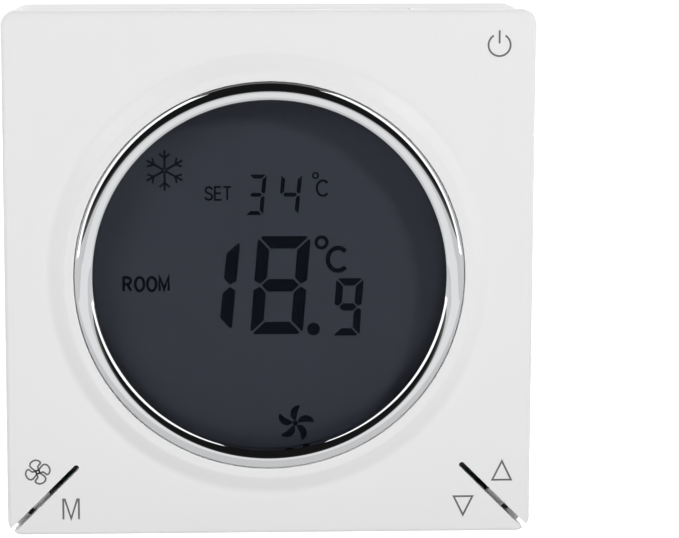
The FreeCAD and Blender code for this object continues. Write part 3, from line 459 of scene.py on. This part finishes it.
def shell_blank():
    """The whole front moulding as one closed surface, from the lens opening round the skirt and back."""
    outer, inner = rounded_square(HALF, CORNER), rounded_square(HALF - WALL, CORNER - WALL)
    rings = [(OPENING, PLATE_BACK), (OPENING, SEAT), (RING_SEAT, SEAT), (RING_SEAT, FACE - 1.22)]
    rings.append((31.80, FACE - BEZEL_RISE))
    for i in range(15):
        t = i / 14
        rings.append((BEZEL_TOP + (BEZEL_FOOT - BEZEL_TOP) * t, FACE - BEZEL_RISE * (1 - bezel_fall(t))))
    loops = [circle_like(outer, radius, y) for radius, y in rings]
    for i in range(7):
        a = math.radians(90 * i / 6)
        pull = EDGE_ROUND * (1 - math.sin(a))
        ring = rounded_square(HALF - pull, CORNER - pull)
        loops.append(at_depth(ring, FACE + EDGE_ROUND * (1 - math.cos(a))))
    loops.append(at_depth(outer, SKIRT_BACK - EDGE_BREAK))
    loops.append(at_depth(rounded_square(HALF - EDGE_BREAK, CORNER - EDGE_BREAK), SKIRT_BACK))
    loops += [at_depth(inner, SKIRT_BACK), at_depth(inner, PLATE_BACK)]
    return Shape().loft(loops, ring=True)


def scratch(shape, name):
    """A working object in millimetres, for the boolean tools."""
    made = put_mesh(name, shape.verts, shape.faces)
    face_outwards(made.data)
    return made


def carve(base, tools, name, operation="DIFFERENCE"):
    """base with each tool applied, as a new working object."""
    made = put(name, base.data.copy())
    for tool in tools:
        step = made.modifiers.new("carve", "BOOLEAN")
        step.operation, step.solver, step.object = operation, "EXACT", tool
    graph = bpy.context.evaluated_depsgraph_get()
    mesh = bpy.data.meshes.new_from_object(made.evaluated_get(graph))
    made.modifiers.clear()
    made.data = mesh
    return made


def drop(*things):
    for thing in things:
        bpy.data.objects.remove(thing)


def hinge_lines():
    """Each key's hinge line: a point on it and the unit direction across it to the corner, in X and Z."""
    run = Vector((-HALF + HINGE_NEAR, HINGE_NEAR - HINGE_FAR))
    side = Vector((-run.y, run.x)).normalized()
    left, right = Vector((-HINGE_NEAR, -HINGE_NEAR)), Vector((HINGE_NEAR, -HINGE_NEAR))
    return {
        "power": (Vector(((HALF + POWER_HINGE) / 2,) * 2), Vector((1, 1)).normalized()),
        "fan": (left, side),
        "mode": (left, Vector((side.y, side.x))),
        "up": (right, Vector((-side.x, side.y))),
        "down": (right, Vector((-side.y, side.x))),
    }


def cutting_block(name, corner, first, tilt=0.0):
    """A large block to the left of a line that runs from corner along first, in X and Z.

    tilt leans the side on the line by degrees about the line's place on the face.
    """
    along = Vector((first[0], 0, first[1])).normalized()
    across = Vector((-first[1], 0, first[0])).normalized()
    lean = math.tan(math.radians(tilt))
    start = Vector((corner[0], 0, corner[1]))
    loops = []
    for y in THROUGH:
        base = start + across * (lean * (y - FACE)) + Vector((0, y, 0))
        end = base + along * (2 * REACH)
        loops.append([base, end, end + across * REACH, base + across * REACH])
    return scratch(Shape().loft(loops), name)


def beyond_hinge(name, line, tilt=0.0):
    """Everything on the corner's side of a hinge line."""
    point, outward = line
    first = Vector((outward.y, -outward.x))
    return cutting_block(name, point - first * REACH, first, tilt)


def slot_axes(side):
    """The unit direction along a slot, outwards, and the one to its left, in X and Z."""
    first = Vector((side, -1)).normalized()
    return first, Vector((-first.y, first.x))


def beside_slot(name, key, clearance):
    """Everything on a key's own side of its slot; the fan and up keys lie above the slot's line."""
    first, left = slot_axes(-1 if key in ("fan", "mode") else 1)
    own_side = (left.y > 0) == (key in ("fan", "up"))
    return cutting_block(name, first * 5 + left * (clearance if own_side else -clearance - REACH), first)


def slot_tool(name, side):
    half = SLOT_WIDE / 2
    first, left = slot_axes(side)
    centre = Vector((side, -1)) * (SLOT_END + half / math.sqrt(2))
    angle = math.degrees(math.atan2(first.y, first.x))
    outline = arc(centre, half, angle + 90, angle + 270, 13)
    outline += [tuple(centre + first * 40 - left * half), tuple(centre + first * 40 + left * half)]
    return scratch(Shape().prism(anticlockwise(outline), *THROUGH), name)


def soften_slots(obj):
    """Rounds the edges of a working object that run along a slot."""
    steep = math.radians(50)
    bm = bmesh.new()
    bm.from_mesh(obj.data)
    bmesh.ops.remove_doubles(bm, verts=bm.verts, dist=0.0005)
    picked = [e for e in bm.edges if on_slot(e) and e.calc_face_angle(0.0) > steep]
    if picked:
        bmesh.ops.bevel(
            bm, geom=picked, offset=SLOT_EDGE, segments=3, profile=0.5, affect="EDGES", clamp_overlap=True
        )
    bm.to_mesh(obj.data)
    bm.free()


def on_slot(edge):
    """Whether an edge of the front face runs along a slot, or round its end."""
    for v in edge.verts:
        x, y, z = v.co
        away = abs(abs(x) - abs(z)) / math.sqrt(2)
        if y > FACE + 0.85 or z > -31 or away > SLOT_WIDE / 2 + 0.02:
            return False
    return True


def place(obj, name, body, node):
    """A finished working object becomes a piece of the white moulding, in metres."""
    obj.data.transform(Matrix.Scale(MM, 4))
    obj.name = obj.data.name = name
    settle(obj, white_shell, body, 25.0, (node,))


def front_shell():
    blank = scratch(shell_blank(), "shell_blank")
    lines = hinge_lines()
    openings = []
    for key, line in lines.items():
        beyond = beyond_hinge(f"{key}_beyond", line)
        if key == "power":
            openings.append(beyond)
            continue
        bound = beside_slot(f"{key}_bound", key, 0.0)
        openings.append(carve(beyond, [bound], f"{key}_opening", "INTERSECT"))
        drop(beyond, bound)
    slots = [slot_tool("slot_left", -1), slot_tool("slot_right", 1)]
    plate = carve(blank, openings + slots, "plate_work")
    soften_slots(plate)
    place(plate, "front_shell", FRONT, "front_plate")
    for key, (point, outward) in lines.items():
        tools = [beyond_hinge(f"{key}_lean", (point + outward * HINGE_FREE, outward), KEY_LEAN)]
        if key != "power":
            tools.append(beside_slot(f"{key}_side", key, SLOT_WIDE / 2))
        part = carve(blank, tools, f"{key}_work", "INTERSECT")
        soften_slots(part)
        place(part, f"{key}_corner", f"{key}_key", f"{key}_key")
        drop(*tools)
    drop(blank, *openings, *slots)
    key_posts()


SWITCHES = {
    "power": (37.2, 37.2), "fan": (-38.0, -34.0), "mode": (-34.0, -38.0), "down": (34.0, -38.0),
    "up": (38.0, -34.0),
}  # fmt: skip


def key_posts():
    """Behind each key: the post that works the switch, and the side keys' light trap."""
    profile = [(AXIS, -13.65), (1.1, -13.65), (1.2, -13.75), (1.2, -15.8), (1.45, -16.1), (AXIS, -16.1)]
    for key, (x, z) in SWITCHES.items():
        shape = Shape().lathe(profile, 32, (x, 0, z), ring=False)
        if key in ("fan", "up"):
            side = -1 if key == "fan" else 1
            along = Vector((side, -1)).normalized() * TRAP_LENGTH
            up = Vector((side, 1)).normalized()
            start = Vector((side, -1)) * TRAP_START
            for low, high, front, back in ((-0.9, 1.5, -15.2, -14.4), (0.8, 1.5, -16.3, -15.2)):
                corners = [start + up * low, start + along + up * low]
                corners += [start + along + up * high, start + up * high]
                shape.prism(anticlockwise([tuple(c) for c in corners]), front, back)
        shape.piece(f"{key}_post", white_shell, f"{key}_key")


# ---- bright ring, window and display -------------------------------------------------------------


def ring_and_window():
    inner, outer, foot = 28.7, 31.6, -17.45
    profile = [(inner, foot), (outer - 0.1, foot), (outer, foot - 0.1), (outer, -19.32)]
    profile += arc((30.1, -18.23), 1.9, -38.4, -137.4, 25)  # over the crest to the inner edge
    profile += [(inner, -19.44)]
    Shape().lathe(profile, 256).piece("bright_ring", mirror, FRONT, 24.0, ("chrome_ring",), "chrome")
    edge = [(29.5, SEAT), (29.6, SEAT + 0.1), (29.6, PLATE_BACK - 0.1), (29.5, PLATE_BACK)]
    Shape().lathe([(AXIS, SEAT)] + edge + [(AXIS, PLATE_BACK)], 160, ring=False).piece(
        "smoked_window", window_glass, FRONT, 30.0, ("window_lens",), "smoked_window"
    )
    gasket = [(29.35, -15.93), (29.45, -15.96), (31.4, -15.96), (31.5, -15.93)]
    gasket += [(31.5, -15.47), (29.35, -15.47)]
    Shape().lathe(gasket, 128).piece("foam_ring", foam, FRONT, 30.0, ("lens_gasket",), "foam")


def digit(shape, which, left, low, w, h, t, lean, gap):
    """Seven-segment figure: each segment is cut on the mitre, then thinned by the gap round it."""
    m = h / 2
    k, n = t * 0.18, t * 0.3
    upper = [(0, h - 2 * k), (k, h - k), (t, h - t), (t, m + t / 2), (t / 2, m), (0, m + n)]
    lower = [(x, h - z) for x, z in upper]
    top = [(k, h - k), (2 * k, h), (w - 2 * k, h), (w - k, h - k), (w - t, h - t), (t, h - t)]
    middle = [(t / 2, m), (t, m + t / 2), (w - t, m + t / 2), (w - t / 2, m)]
    middle += [(w - t, m - t / 2), (t, m - t / 2)]
    parts = {"a": top, "d": [(x, h - z) for x, z in top], "f": upper, "e": lower, "g": middle}
    parts["b"] = [(w - x, z) for x, z in upper]
    parts["c"] = [(w - x, z) for x, z in lower]
    lit = {"1": "bc", "3": "abcdg", "4": "bcfg", "8": "abcdefg", "9": "abcdfg"}[which]
    for name in lit:
        outline = inset(anticlockwise(parts[name]), gap / 2)
        slanted = [(left + x + z * math.tan(math.radians(lean)), low + z) for x, z in outline]
        shape.prism(slanted, *MARKS)


LETTERS = {
    "S": [[(0.92, 0.80), (0.80, 0.94), (0.5, 1), (0.2, 0.94), (0.07, 0.76), (0.2, 0.59), (0.5, 0.51),
           (0.8, 0.42), (0.94, 0.24), (0.8, 0.06), (0.5, 0), (0.18, 0.06), (0.05, 0.22)]],
    "E": [[(0.9, 1), (0.1, 1), (0.1, 0), (0.94, 0)], [(0.1, 0.52), (0.84, 0.52)]],
    "T": [[(0, 1), (1, 1)], [(0.5, 1), (0.5, 0)]],
    "R": [[(0.1, 0), (0.1, 1), (0.55, 1)] + ellipse((0.55, 0.74), 0.235 / 0.62, 0.235, 90, -90, 9)
          + [(0.1, 0.505)], [(0.55, 0.5), (0.95, 0)]],
    "O": [ellipse((0.55, 0.5), 0.52, 0.5, 0, 345, 24)],
    "M": [[(0.05, 0), (0.05, 1), (0.575, 0.12), (1.1, 1), (1.1, 0)]],
}  # fmt: skip


def letters(shape, text, left, low, height, advance, width):
    """Plain stroke capitals, 0.62 as wide as they are high."""
    for i, letter in enumerate(text):
        for line in LETTERS[letter]:
            points = [(left + i * advance + u * height * 0.62, low + v * height) for u, v in line]
            stroke(shape, points, width, MARKS, closed=letter == "O")


def degree_mark(shape, ring, radius, c_centre, c_size, width):
    """The small circle and the C beside it."""
    stroke(shape, arc(ring, radius, 0, 345, 24), width * 0.75, MARKS, closed=True)
    stroke(shape, ellipse(c_centre, *c_size, 42, 318, 26), width, MARKS)


def snowflake(shape, centre, across, up, width):
    """Six spokes, each with a pair of side branches."""
    middle = Vector(centre)
    for spoke in range(6):
        a = math.radians(90 + 60 * spoke)
        out = Vector((math.cos(a), math.sin(a)))
        tip = Vector((out.x * across, out.y * up))
        root = middle + tip * 0.60
        stroke(shape, [tuple(middle + tip * 0.04), tuple(middle + tip)], width, MARKS)
        for turn in (-1, 1):
            b = a + turn * math.radians(48)
            end = root + Vector((math.cos(b) * across, math.sin(b) * up)) * 0.34
            stroke(shape, [tuple(root), tuple(end)], width * 0.9, MARKS)


def fan_blades(shape, centre):
    """Five solid blades, each a bent drop, round a hub."""
    blade = [
        (0.12, 0.58), (0.24, 1.25), (0.36, 1.95), (0.56, 2.42), (0.74, 2.72), (0.72, 2.94), (0.58, 3.02),
        (0.16, 2.97), (-0.36, 2.68), (-0.70, 2.24), (-0.84, 1.66), (-0.76, 1.08), (-0.28, 0.50),
    ]  # fmt: skip
    for turn in range(5):
        spin = Matrix.Rotation(math.radians(72 * turn), 2)
        shape.prism([tuple(Vector(centre) + spin @ Vector(p)) for p in blade], *MARKS)
    shape.prism(arc(centre, 0.46, 0, 340, 18), *MARKS)


def display():
    slab = Shape().box((-30, 30), (GLASS, GLASS + 0.2), (-30, 30), 0.04)
    slab.piece("display_face", display_gray, FRONT, 30.0, ("lcd_polarizer_front",), "film")
    figures = Shape()
    digit(figures, "1", -13.05, -9.95, 7.1, 15.5, 2.40, 5.6, 0.30)
    digit(figures, "8", -3.25, -10.45, 9.0, 16.6, 2.40, 4.6, 0.34)
    digit(figures, "9", 10.30, -10.72, 4.75, 9.8, 1.48, 4.0, 0.26)
    figures.prism(arc((7.38, -9.47), 1.05, 0, 348, 30), *MARKS)
    degree_mark(figures, (8.66, 4.9), 0.90, (11.35, 2.1), (1.66, 1.88), 0.74)
    figures.piece("display_figures", segment_dark, FRONT)
    small = Shape()
    digit(small, "3", -4.0, 9.35, 3.2, 6.9, 0.92, 5.5, 0.26)
    digit(small, "4", 1.35, 9.35, 3.6, 6.9, 0.92, 5.5, 0.26)
    degree_mark(small, (7.63, 15.92), 0.44, (8.85, 13.85), (1.0, 1.25), 0.36)
    letters(small, "SET", -10.4, 12.0, 2.1, 1.5, 0.31)
    letters(small, "ROOM", -23.85, -2.95, 2.25, 1.98, 0.45)
    small.piece("display_small_marks", segment_dark, FRONT)
    faint = Shape()
    snowflake(faint, (-16.93, 16.85), 3.35, 3.3, 0.36)
    faint.piece("display_snowflake", segment_faint, FRONT)
    fan = Shape()
    fan_blades(fan, (4.41, -25.23))
    fan.piece("display_fan", segment_dark, FRONT)


# ---- printed icons -------------------------------------------------------------------------------


def icons():
    line = 0.30
    power, centre = Shape(), (37.0, 37.35)
    stroke(power, arc(centre, 1.78, 122, 418, 40), line, PRINT)
    stroke(power, [(centre[0], centre[1] + 0.25), (centre[0], centre[1] + 2.35)], line, PRINT)
    power.piece("power_icon", ink, "power_key")
    fan, middle = Shape(), Vector((-37.95, -32.3))
    petal = [
        (-0.33, 0.16), (-0.58, 0.32), (-0.90, 0.55), (-1.20, 0.82), (-1.34, 1.15), (-1.25, 1.54),
        (-0.95, 1.84), (-0.60, 2.01), (-0.26, 2.07), (0.16, 1.95), (0.42, 1.72), (0.43, 1.50),
        (0.20, 1.22), (0.02, 0.97), (0.02, 0.78), (0.10, 0.56), (0.14, 0.36),
    ]  # fmt: skip
    for quarter in range(4):
        turn = Matrix.Rotation(math.radians(90 * quarter), 2)
        stroke(fan, [tuple(middle + turn @ Vector(p) * 0.965) for p in petal], 0.28, PRINT, closed=True)
    stroke(fan, arc(middle, 0.30, 0, 324, 10), 0.2, PRINT, closed=True)
    fan.piece("fan_icon", ink, "fan_key")
    mode = Shape()
    left, low, wide, high, foot = -33.85, -40.3, 2.55, 3.36, 0.26
    points = [(0, 0), (0, high), (foot, high), (wide / 2, 0.14), (wide - foot, high), (wide, high), (wide, 0)]
    stroke(mode, [(left + x, low + z) for x, z in points], 0.31, PRINT)
    mode.piece("mode_icon", ink, "mode_key")
    triangle = [(-1.55, -1.6), (1.55, -1.6), (0.0, 1.55)]
    for key, (x, z), flip in (("up", (38.28, -32.65), 1), ("down", (31.93, -38.58), -1)):
        shape = Shape()
        stroke(shape, [(x + u, z + v * flip) for u, v in triangle], line, PRINT, closed=True)
        shape.piece(f"{key}_icon", ink, f"{key}_key")


# ---- carried-over CAD nodes ----------------------------------------------------------------------


def carried_over():
    looks = [
        ("mid_frame", white_frame, 0.22), ("lcd_frame", black_part, 0.12),
        ("rear_housing", black_housing, 0.25), ("base_cover", black_housing, 0.12),
        ("snap_tongues", black_part, 0.1), ("control_board", green_board, 0.0),
        ("power_board", green_board, 0.0), ("microcontroller", chip_black_and_recess_shade, 0.08),
        ("board_passives", chip_black_and_recess_shade, 0.06), ("tact_switches", steel, 0.08),
        ("pin_header", black_part, 0.08), ("socket_header", black_part, 0.06),
        ("header_pins", gold, 0.08), ("temperature_sensor", sensor_bead, 0.0),
        ("module_screws", steel, 0.06), ("lcd_cell", cell_glass, 0.06),
        ("lcd_polarizer_rear", display_gray, 0.0), ("light_guide", clear_guide, 0.08),
        ("reflector_sheet", white_sheet, 0.0), ("zebra_strip", contact_strip, 0.0),
        ("backlight_leds", led_case, 0.1), ("relays", relay_case, 0.3),
        ("film_capacitor", film_case, 0.4), ("transformer", core_tape, 0.25),
        ("terminal_block", terminal_green, 0.12), ("terminal_clamps", brass, 0.06),
        ("terminal_screws", steel, 0.08), ("power_board_screws", steel, 0.06),
    ]  # fmt: skip
    for node, look, width in looks:
        polish(node, look, width)
    for key in SWITCHES:
        polish(f"{key}_stem", stem_plastic, 0.1)


def wall_screws():
    """Mounting screws: raised countersunk heads with a cross painted black as shade, and a row of rings for
    the thread.
    """
    head = [
        (AXIS, -2.90), (0.7, -2.89), (1.5, -2.75), (2.3, -2.5), (2.72, -2.38), (2.8, -2.33), (1.42, -0.95),
        (1.3, -0.8), (1.3, 0.3),
    ]  # fmt: skip
    start, pitch, turns = 0.45, 0.7, 31
    turn = ((1.17, 0.0), (1.22, 0.12), (1.46, 0.30), (1.46, 0.38), (1.22, 0.58))
    thread = [(radius, start + pitch * i + along) for i in range(turns) for radius, along in turn]
    end = start + pitch * turns
    point = [(1.17, end), (1.0, end + 0.35), (AXIS, 22.8)]
    shape, cross, half = Shape(), Shape(), 0.26
    for x in (-30.0, 30.0):
        shape.lathe(head + thread + point, 40, (x, 0, 0), ring=False)
        # near-black solid crosses on the heads: painted shade in place of the cross recesses
        for across, up in ((1.25, half), (half, 1.25)):
            cross.box((x - across, x + across), (-2.93, -2.7), (-up, up), 0.04)
    shape.piece("wall_screws", steel, BASE, 40.0, ("mounting_screws",), "steel")
    cross.piece("wall_screw_recess_shade", chip_black_and_recess_shade, BASE)


def terminal_numbers():
    """The numbers 1 to 8 beside the wire terminals, read from behind."""
    forms = [
        [(0.05, 0.74), (0.32, 1.0), (0.32, 0.0)],
        [(0.0, 0.8), (0.12, 0.96), (0.32, 1.0), (0.52, 0.92), (0.58, 0.72), (0.46, 0.5), (0.0, 0.0),
         (0.62, 0.0)],
        [(0.0, 0.92), (0.3, 1.0), (0.54, 0.9), (0.56, 0.68), (0.28, 0.53), (0.58, 0.38), (0.58, 0.14),
         (0.3, 0.0), (0.0, 0.1)],
        [(0.46, 0.0), (0.46, 1.0), (0.0, 0.3), (0.66, 0.3)],
        [(0.56, 1.0), (0.08, 1.0), (0.04, 0.54), (0.34, 0.62), (0.58, 0.46), (0.58, 0.16), (0.34, 0.0),
         (0.0, 0.1)],
        [(0.52, 0.98), (0.2, 0.82), (0.03, 0.45), (0.06, 0.12), (0.3, 0.0), (0.56, 0.12), (0.58, 0.42),
         (0.34, 0.56), (0.06, 0.4)],
        [(0.0, 1.0), (0.6, 1.0), (0.2, 0.0)],
        [(0.3, 0.53), (0.06, 0.7), (0.1, 0.93), (0.3, 1.0), (0.5, 0.93), (0.54, 0.7), (0.04, 0.33),
         (0.06, 0.08), (0.3, 0.0), (0.54, 0.08), (0.58, 0.33), (0.32, 0.53)],
    ]  # fmt: skip
    shape, high, back, pitch = Shape(), 1.7, 25.2, 5.08
    for i, form in enumerate(forms):
        middle = (3.5 - i) * pitch
        points = [(middle + (0.3 - u) * high, v * high - 20.1) for u, v in form]
        stroke(shape, points, 0.26, (back - 0.02, back + 0.03))
    shape.piece("terminal_numbers", number_paint, BASE)


def round_parts():
    """Capacitors, fuse and varistor, with their crimps and caps."""
    cans = Shape()
    for x, z, radius, end in ((18.0, 2.4, 4.0, 19.65), (10.4, 1.0, 3.15, 16.65)):
        can, sleeve = radius - 0.1, radius - 0.02
        profile = [
            (AXIS, 7.66), (radius - 0.5, 7.66), (can, 7.9), (can, 8.5), (radius - 0.55, 8.9), (can, 9.3),
            (sleeve, 9.5), (sleeve, end - 0.5), (radius - 0.4, end), (radius - 0.9, end - 0.15),
            (AXIS, end - 0.15),
        ]  # fmt: skip
        cans.lathe(profile, 40, (x, 0, z), ring=False)
    cans.piece("sleeved_cans", can_sleeve, BASE, 35.0, ("filter_capacitors",), "can_sleeve")
    tube = [
        (AXIS, -18.5), (1.2, -18.5), (1.9, -18.4), (2.45, -17.9), (2.48, -13.0), (2.3, -10.0), (2.48, -7.0),
        (2.45, -2.1), (1.9, -1.6), (1.2, -1.5), (AXIS, -1.5),
    ]  # fmt: skip
    fuse = Shape().lathe(tube, 36, (0, 10.25, -4.0), "x", ring=False)
    fuse.piece("fuse_sleeve_body", fuse_sleeve, BASE, 40.0, ("fuse",), "fuse_sleeve")
    side = [
        (AXIS, 0.8), (3.4, 0.75), (4.4, 1.0), (4.9, 1.6), (5.0, 2.4), (4.9, 3.2), (4.4, 3.75), (3.4, 4.05),
        (AXIS, 4.0),
    ]  # fmt: skip
    disc = Shape().lathe(side, 40, (0, 12.85, -8.0), "x", ring=False)
    disc.piece("varistor_disc", disc_coat, BASE, 40.0, ("varistor",), "varistor_coat")


ring_and_window()
front_shell()
display()
icons()
carried_over()
wall_screws()
terminal_numbers()
round_parts()


# ---- stage, light and camera ---------------------------------------------------------------------


def glowing(name, verts, faces, strength, color=(0.93, 0.93, 0.93)):
    """A plain stage surface that glows a little, so that it stays even; it lights nothing else."""
    glow = {"Emission_Color": (1.0, 1.0, 1.0, 1.0), "Emission_Strength": strength}
    look = material(f"{name}_look", color, 0.9, **glow)
    made = put_mesh(name, verts, faces)
    made.data.materials.append(look)
    made.visible_diffuse = False
    made.visible_shadow = False
    return made


def sheet(name, across, along, height, strength, **color):
    corners = [(across[i], along[j], height) for i, j in ((0, 0), (1, 0), (1, 1), (0, 1))]
    return glowing(name, corners, [(0, 1, 2, 3)], strength, **color)


def stage():
    """The floor and a pale wall all round, which the camera sees, and the sheets that reflections see."""
    low, far, tall, sides = -0.0431, 5, 4, 24
    floor = sheet("floor", (-far, far), (-far, far), low, 0.7)
    floor.visible_glossy = False
    turns = [2 * math.pi * i / sides for i in range(sides)]
    verts = [(far * math.cos(a), far * math.sin(a), z) for z in (low, tall) for a in turns]
    faces = [(i, (i + 1) % sides, (i + 1) % sides + sides, i + sides) for i in range(sides)]
    wall = glowing("wall", verts, faces, 1.0)
    wall.visible_glossy = False
    for name, across, along, down, level in (
        ("mirrored_floor", (-far, far), (-far, far), 0.0003, 1.05),
        ("mirrored_front", (-0.16, 0.16), (-0.35, -0.058), 0.0002, 1.4),
    ):
        mirrored = sheet(name, across, along, low - down, level, color=(0.0, 0.0, 0.0))
        mirrored.visible_camera = False


def lamp(name, where, size, power, aim=(0, -0.018, 0), mirrored=False):
    """A lamp that lights the object, or, when mirrored, one that only reflections show."""
    data = bpy.data.lights.new(name, "AREA")
    data.shape = "RECTANGLE"
    data.size, data.size_y = size
    data.energy = power
    made = put(name, data)
    made.location = where
    made.visible_glossy = mirrored
    made.visible_diffuse = not mirrored
    made.rotation_mode = "QUATERNION"
    made.rotation_quaternion = (Vector(aim) - Vector(where)).to_track_quat("-Z", "Y")


def world():
    """A studio sky: pale behind the object, and in front of it pale below, grey level and dark above."""
    made = bpy.data.worlds.new("studio")
    bpy.context.scene.world = made
    made.use_nodes = True
    parts = add(made, "ShaderNodeSeparateXYZ")
    link(made, add(made, "ShaderNodeTexCoord"), "Generated", parts, "Vector")
    front = ((0.20, 0.85), (0.42, 0.16), (0.50, 0.20), (0.57, 0.015))
    behind = ((0.60, 1.05), (0.70, 0.85), (0.85, 0.7), (1.0, 0.4))
    turn = ((0.44, 0.0), (0.51, 1.0))
    blend = add(made, "ShaderNodeMix", data_type="RGBA")
    # sockets 6 and 7 are the two colours, 0 is the factor between them
    for axis, stops, socket in (("Z", front, 6), ("Z", behind, 7), ("Y", turn, 0)):
        link(made, height_ramp(made, parts, axis, stops), "Color", blend, socket)
    link(made, blend, 2, made.node_tree.nodes["Background"], "Color")


def height_ramp(made, parts, axis, stops):
    """Grey levels along one axis of the sky's direction, which runs from -1 to 1."""
    span = add(made, "ShaderNodeMapRange", From_Min=-1.0)
    link(made, parts, axis, span, "Value")
    ramp = add(made, "ShaderNodeValToRGB")
    link(made, span, "Result", ramp, "Fac")
    colors = ramp.color_ramp.elements
    while len(colors) < len(stops):
        colors.new(0.5)
    for stop, (position, level) in zip(colors, stops):
        stop.position, stop.color = position, (level, level, level, 1)
    return ramp


def camera():
    """The photo's own view: a little from the left and from above."""
    data = bpy.data.cameras.new("camera")
    data.lens, data.sensor_width = 147.15, 36.0
    data.shift_x, data.shift_y = 0.1031, 0.01008
    data.clip_start, data.clip_end = 0.01, 50
    made = put("camera", data)
    azimuth, elevation, distance = math.radians(-2.146), math.radians(9.111), 0.45057
    level = math.cos(elevation)
    back = Vector((math.sin(azimuth) * level, -math.cos(azimuth) * level, math.sin(elevation)))
    made.location = Vector((0, FACE * MM, 0)) + back * distance
    made.rotation_mode = "QUATERNION"
    made.rotation_quaternion = (-back).to_track_quat("-Z", "Y")
    bpy.context.scene.camera = made


stage()
world()
lamp("key", (0.40, -0.46, 0.36), (0.12, 0.12), 2.6)
lamp("fill", (-0.42, -0.5, 0.35), (0.3, 0.3), 2.15)
lamp("low", (0.0, -0.8, -0.35), (0.5, 0.5), 0.7)
lamp("rear", (-0.4, 0.7, 0.5), (0.5, 0.5), 4.0, aim=(0, 0.01, 0))
for side in (-1, 1):
    lamp(f"strip_{side}", (0.70 * side, -0.28, 0.37), (0.38, 1.4), 3.6, mirrored=True)
camera()
bpy.context.scene.view_settings.view_transform = "Standard"
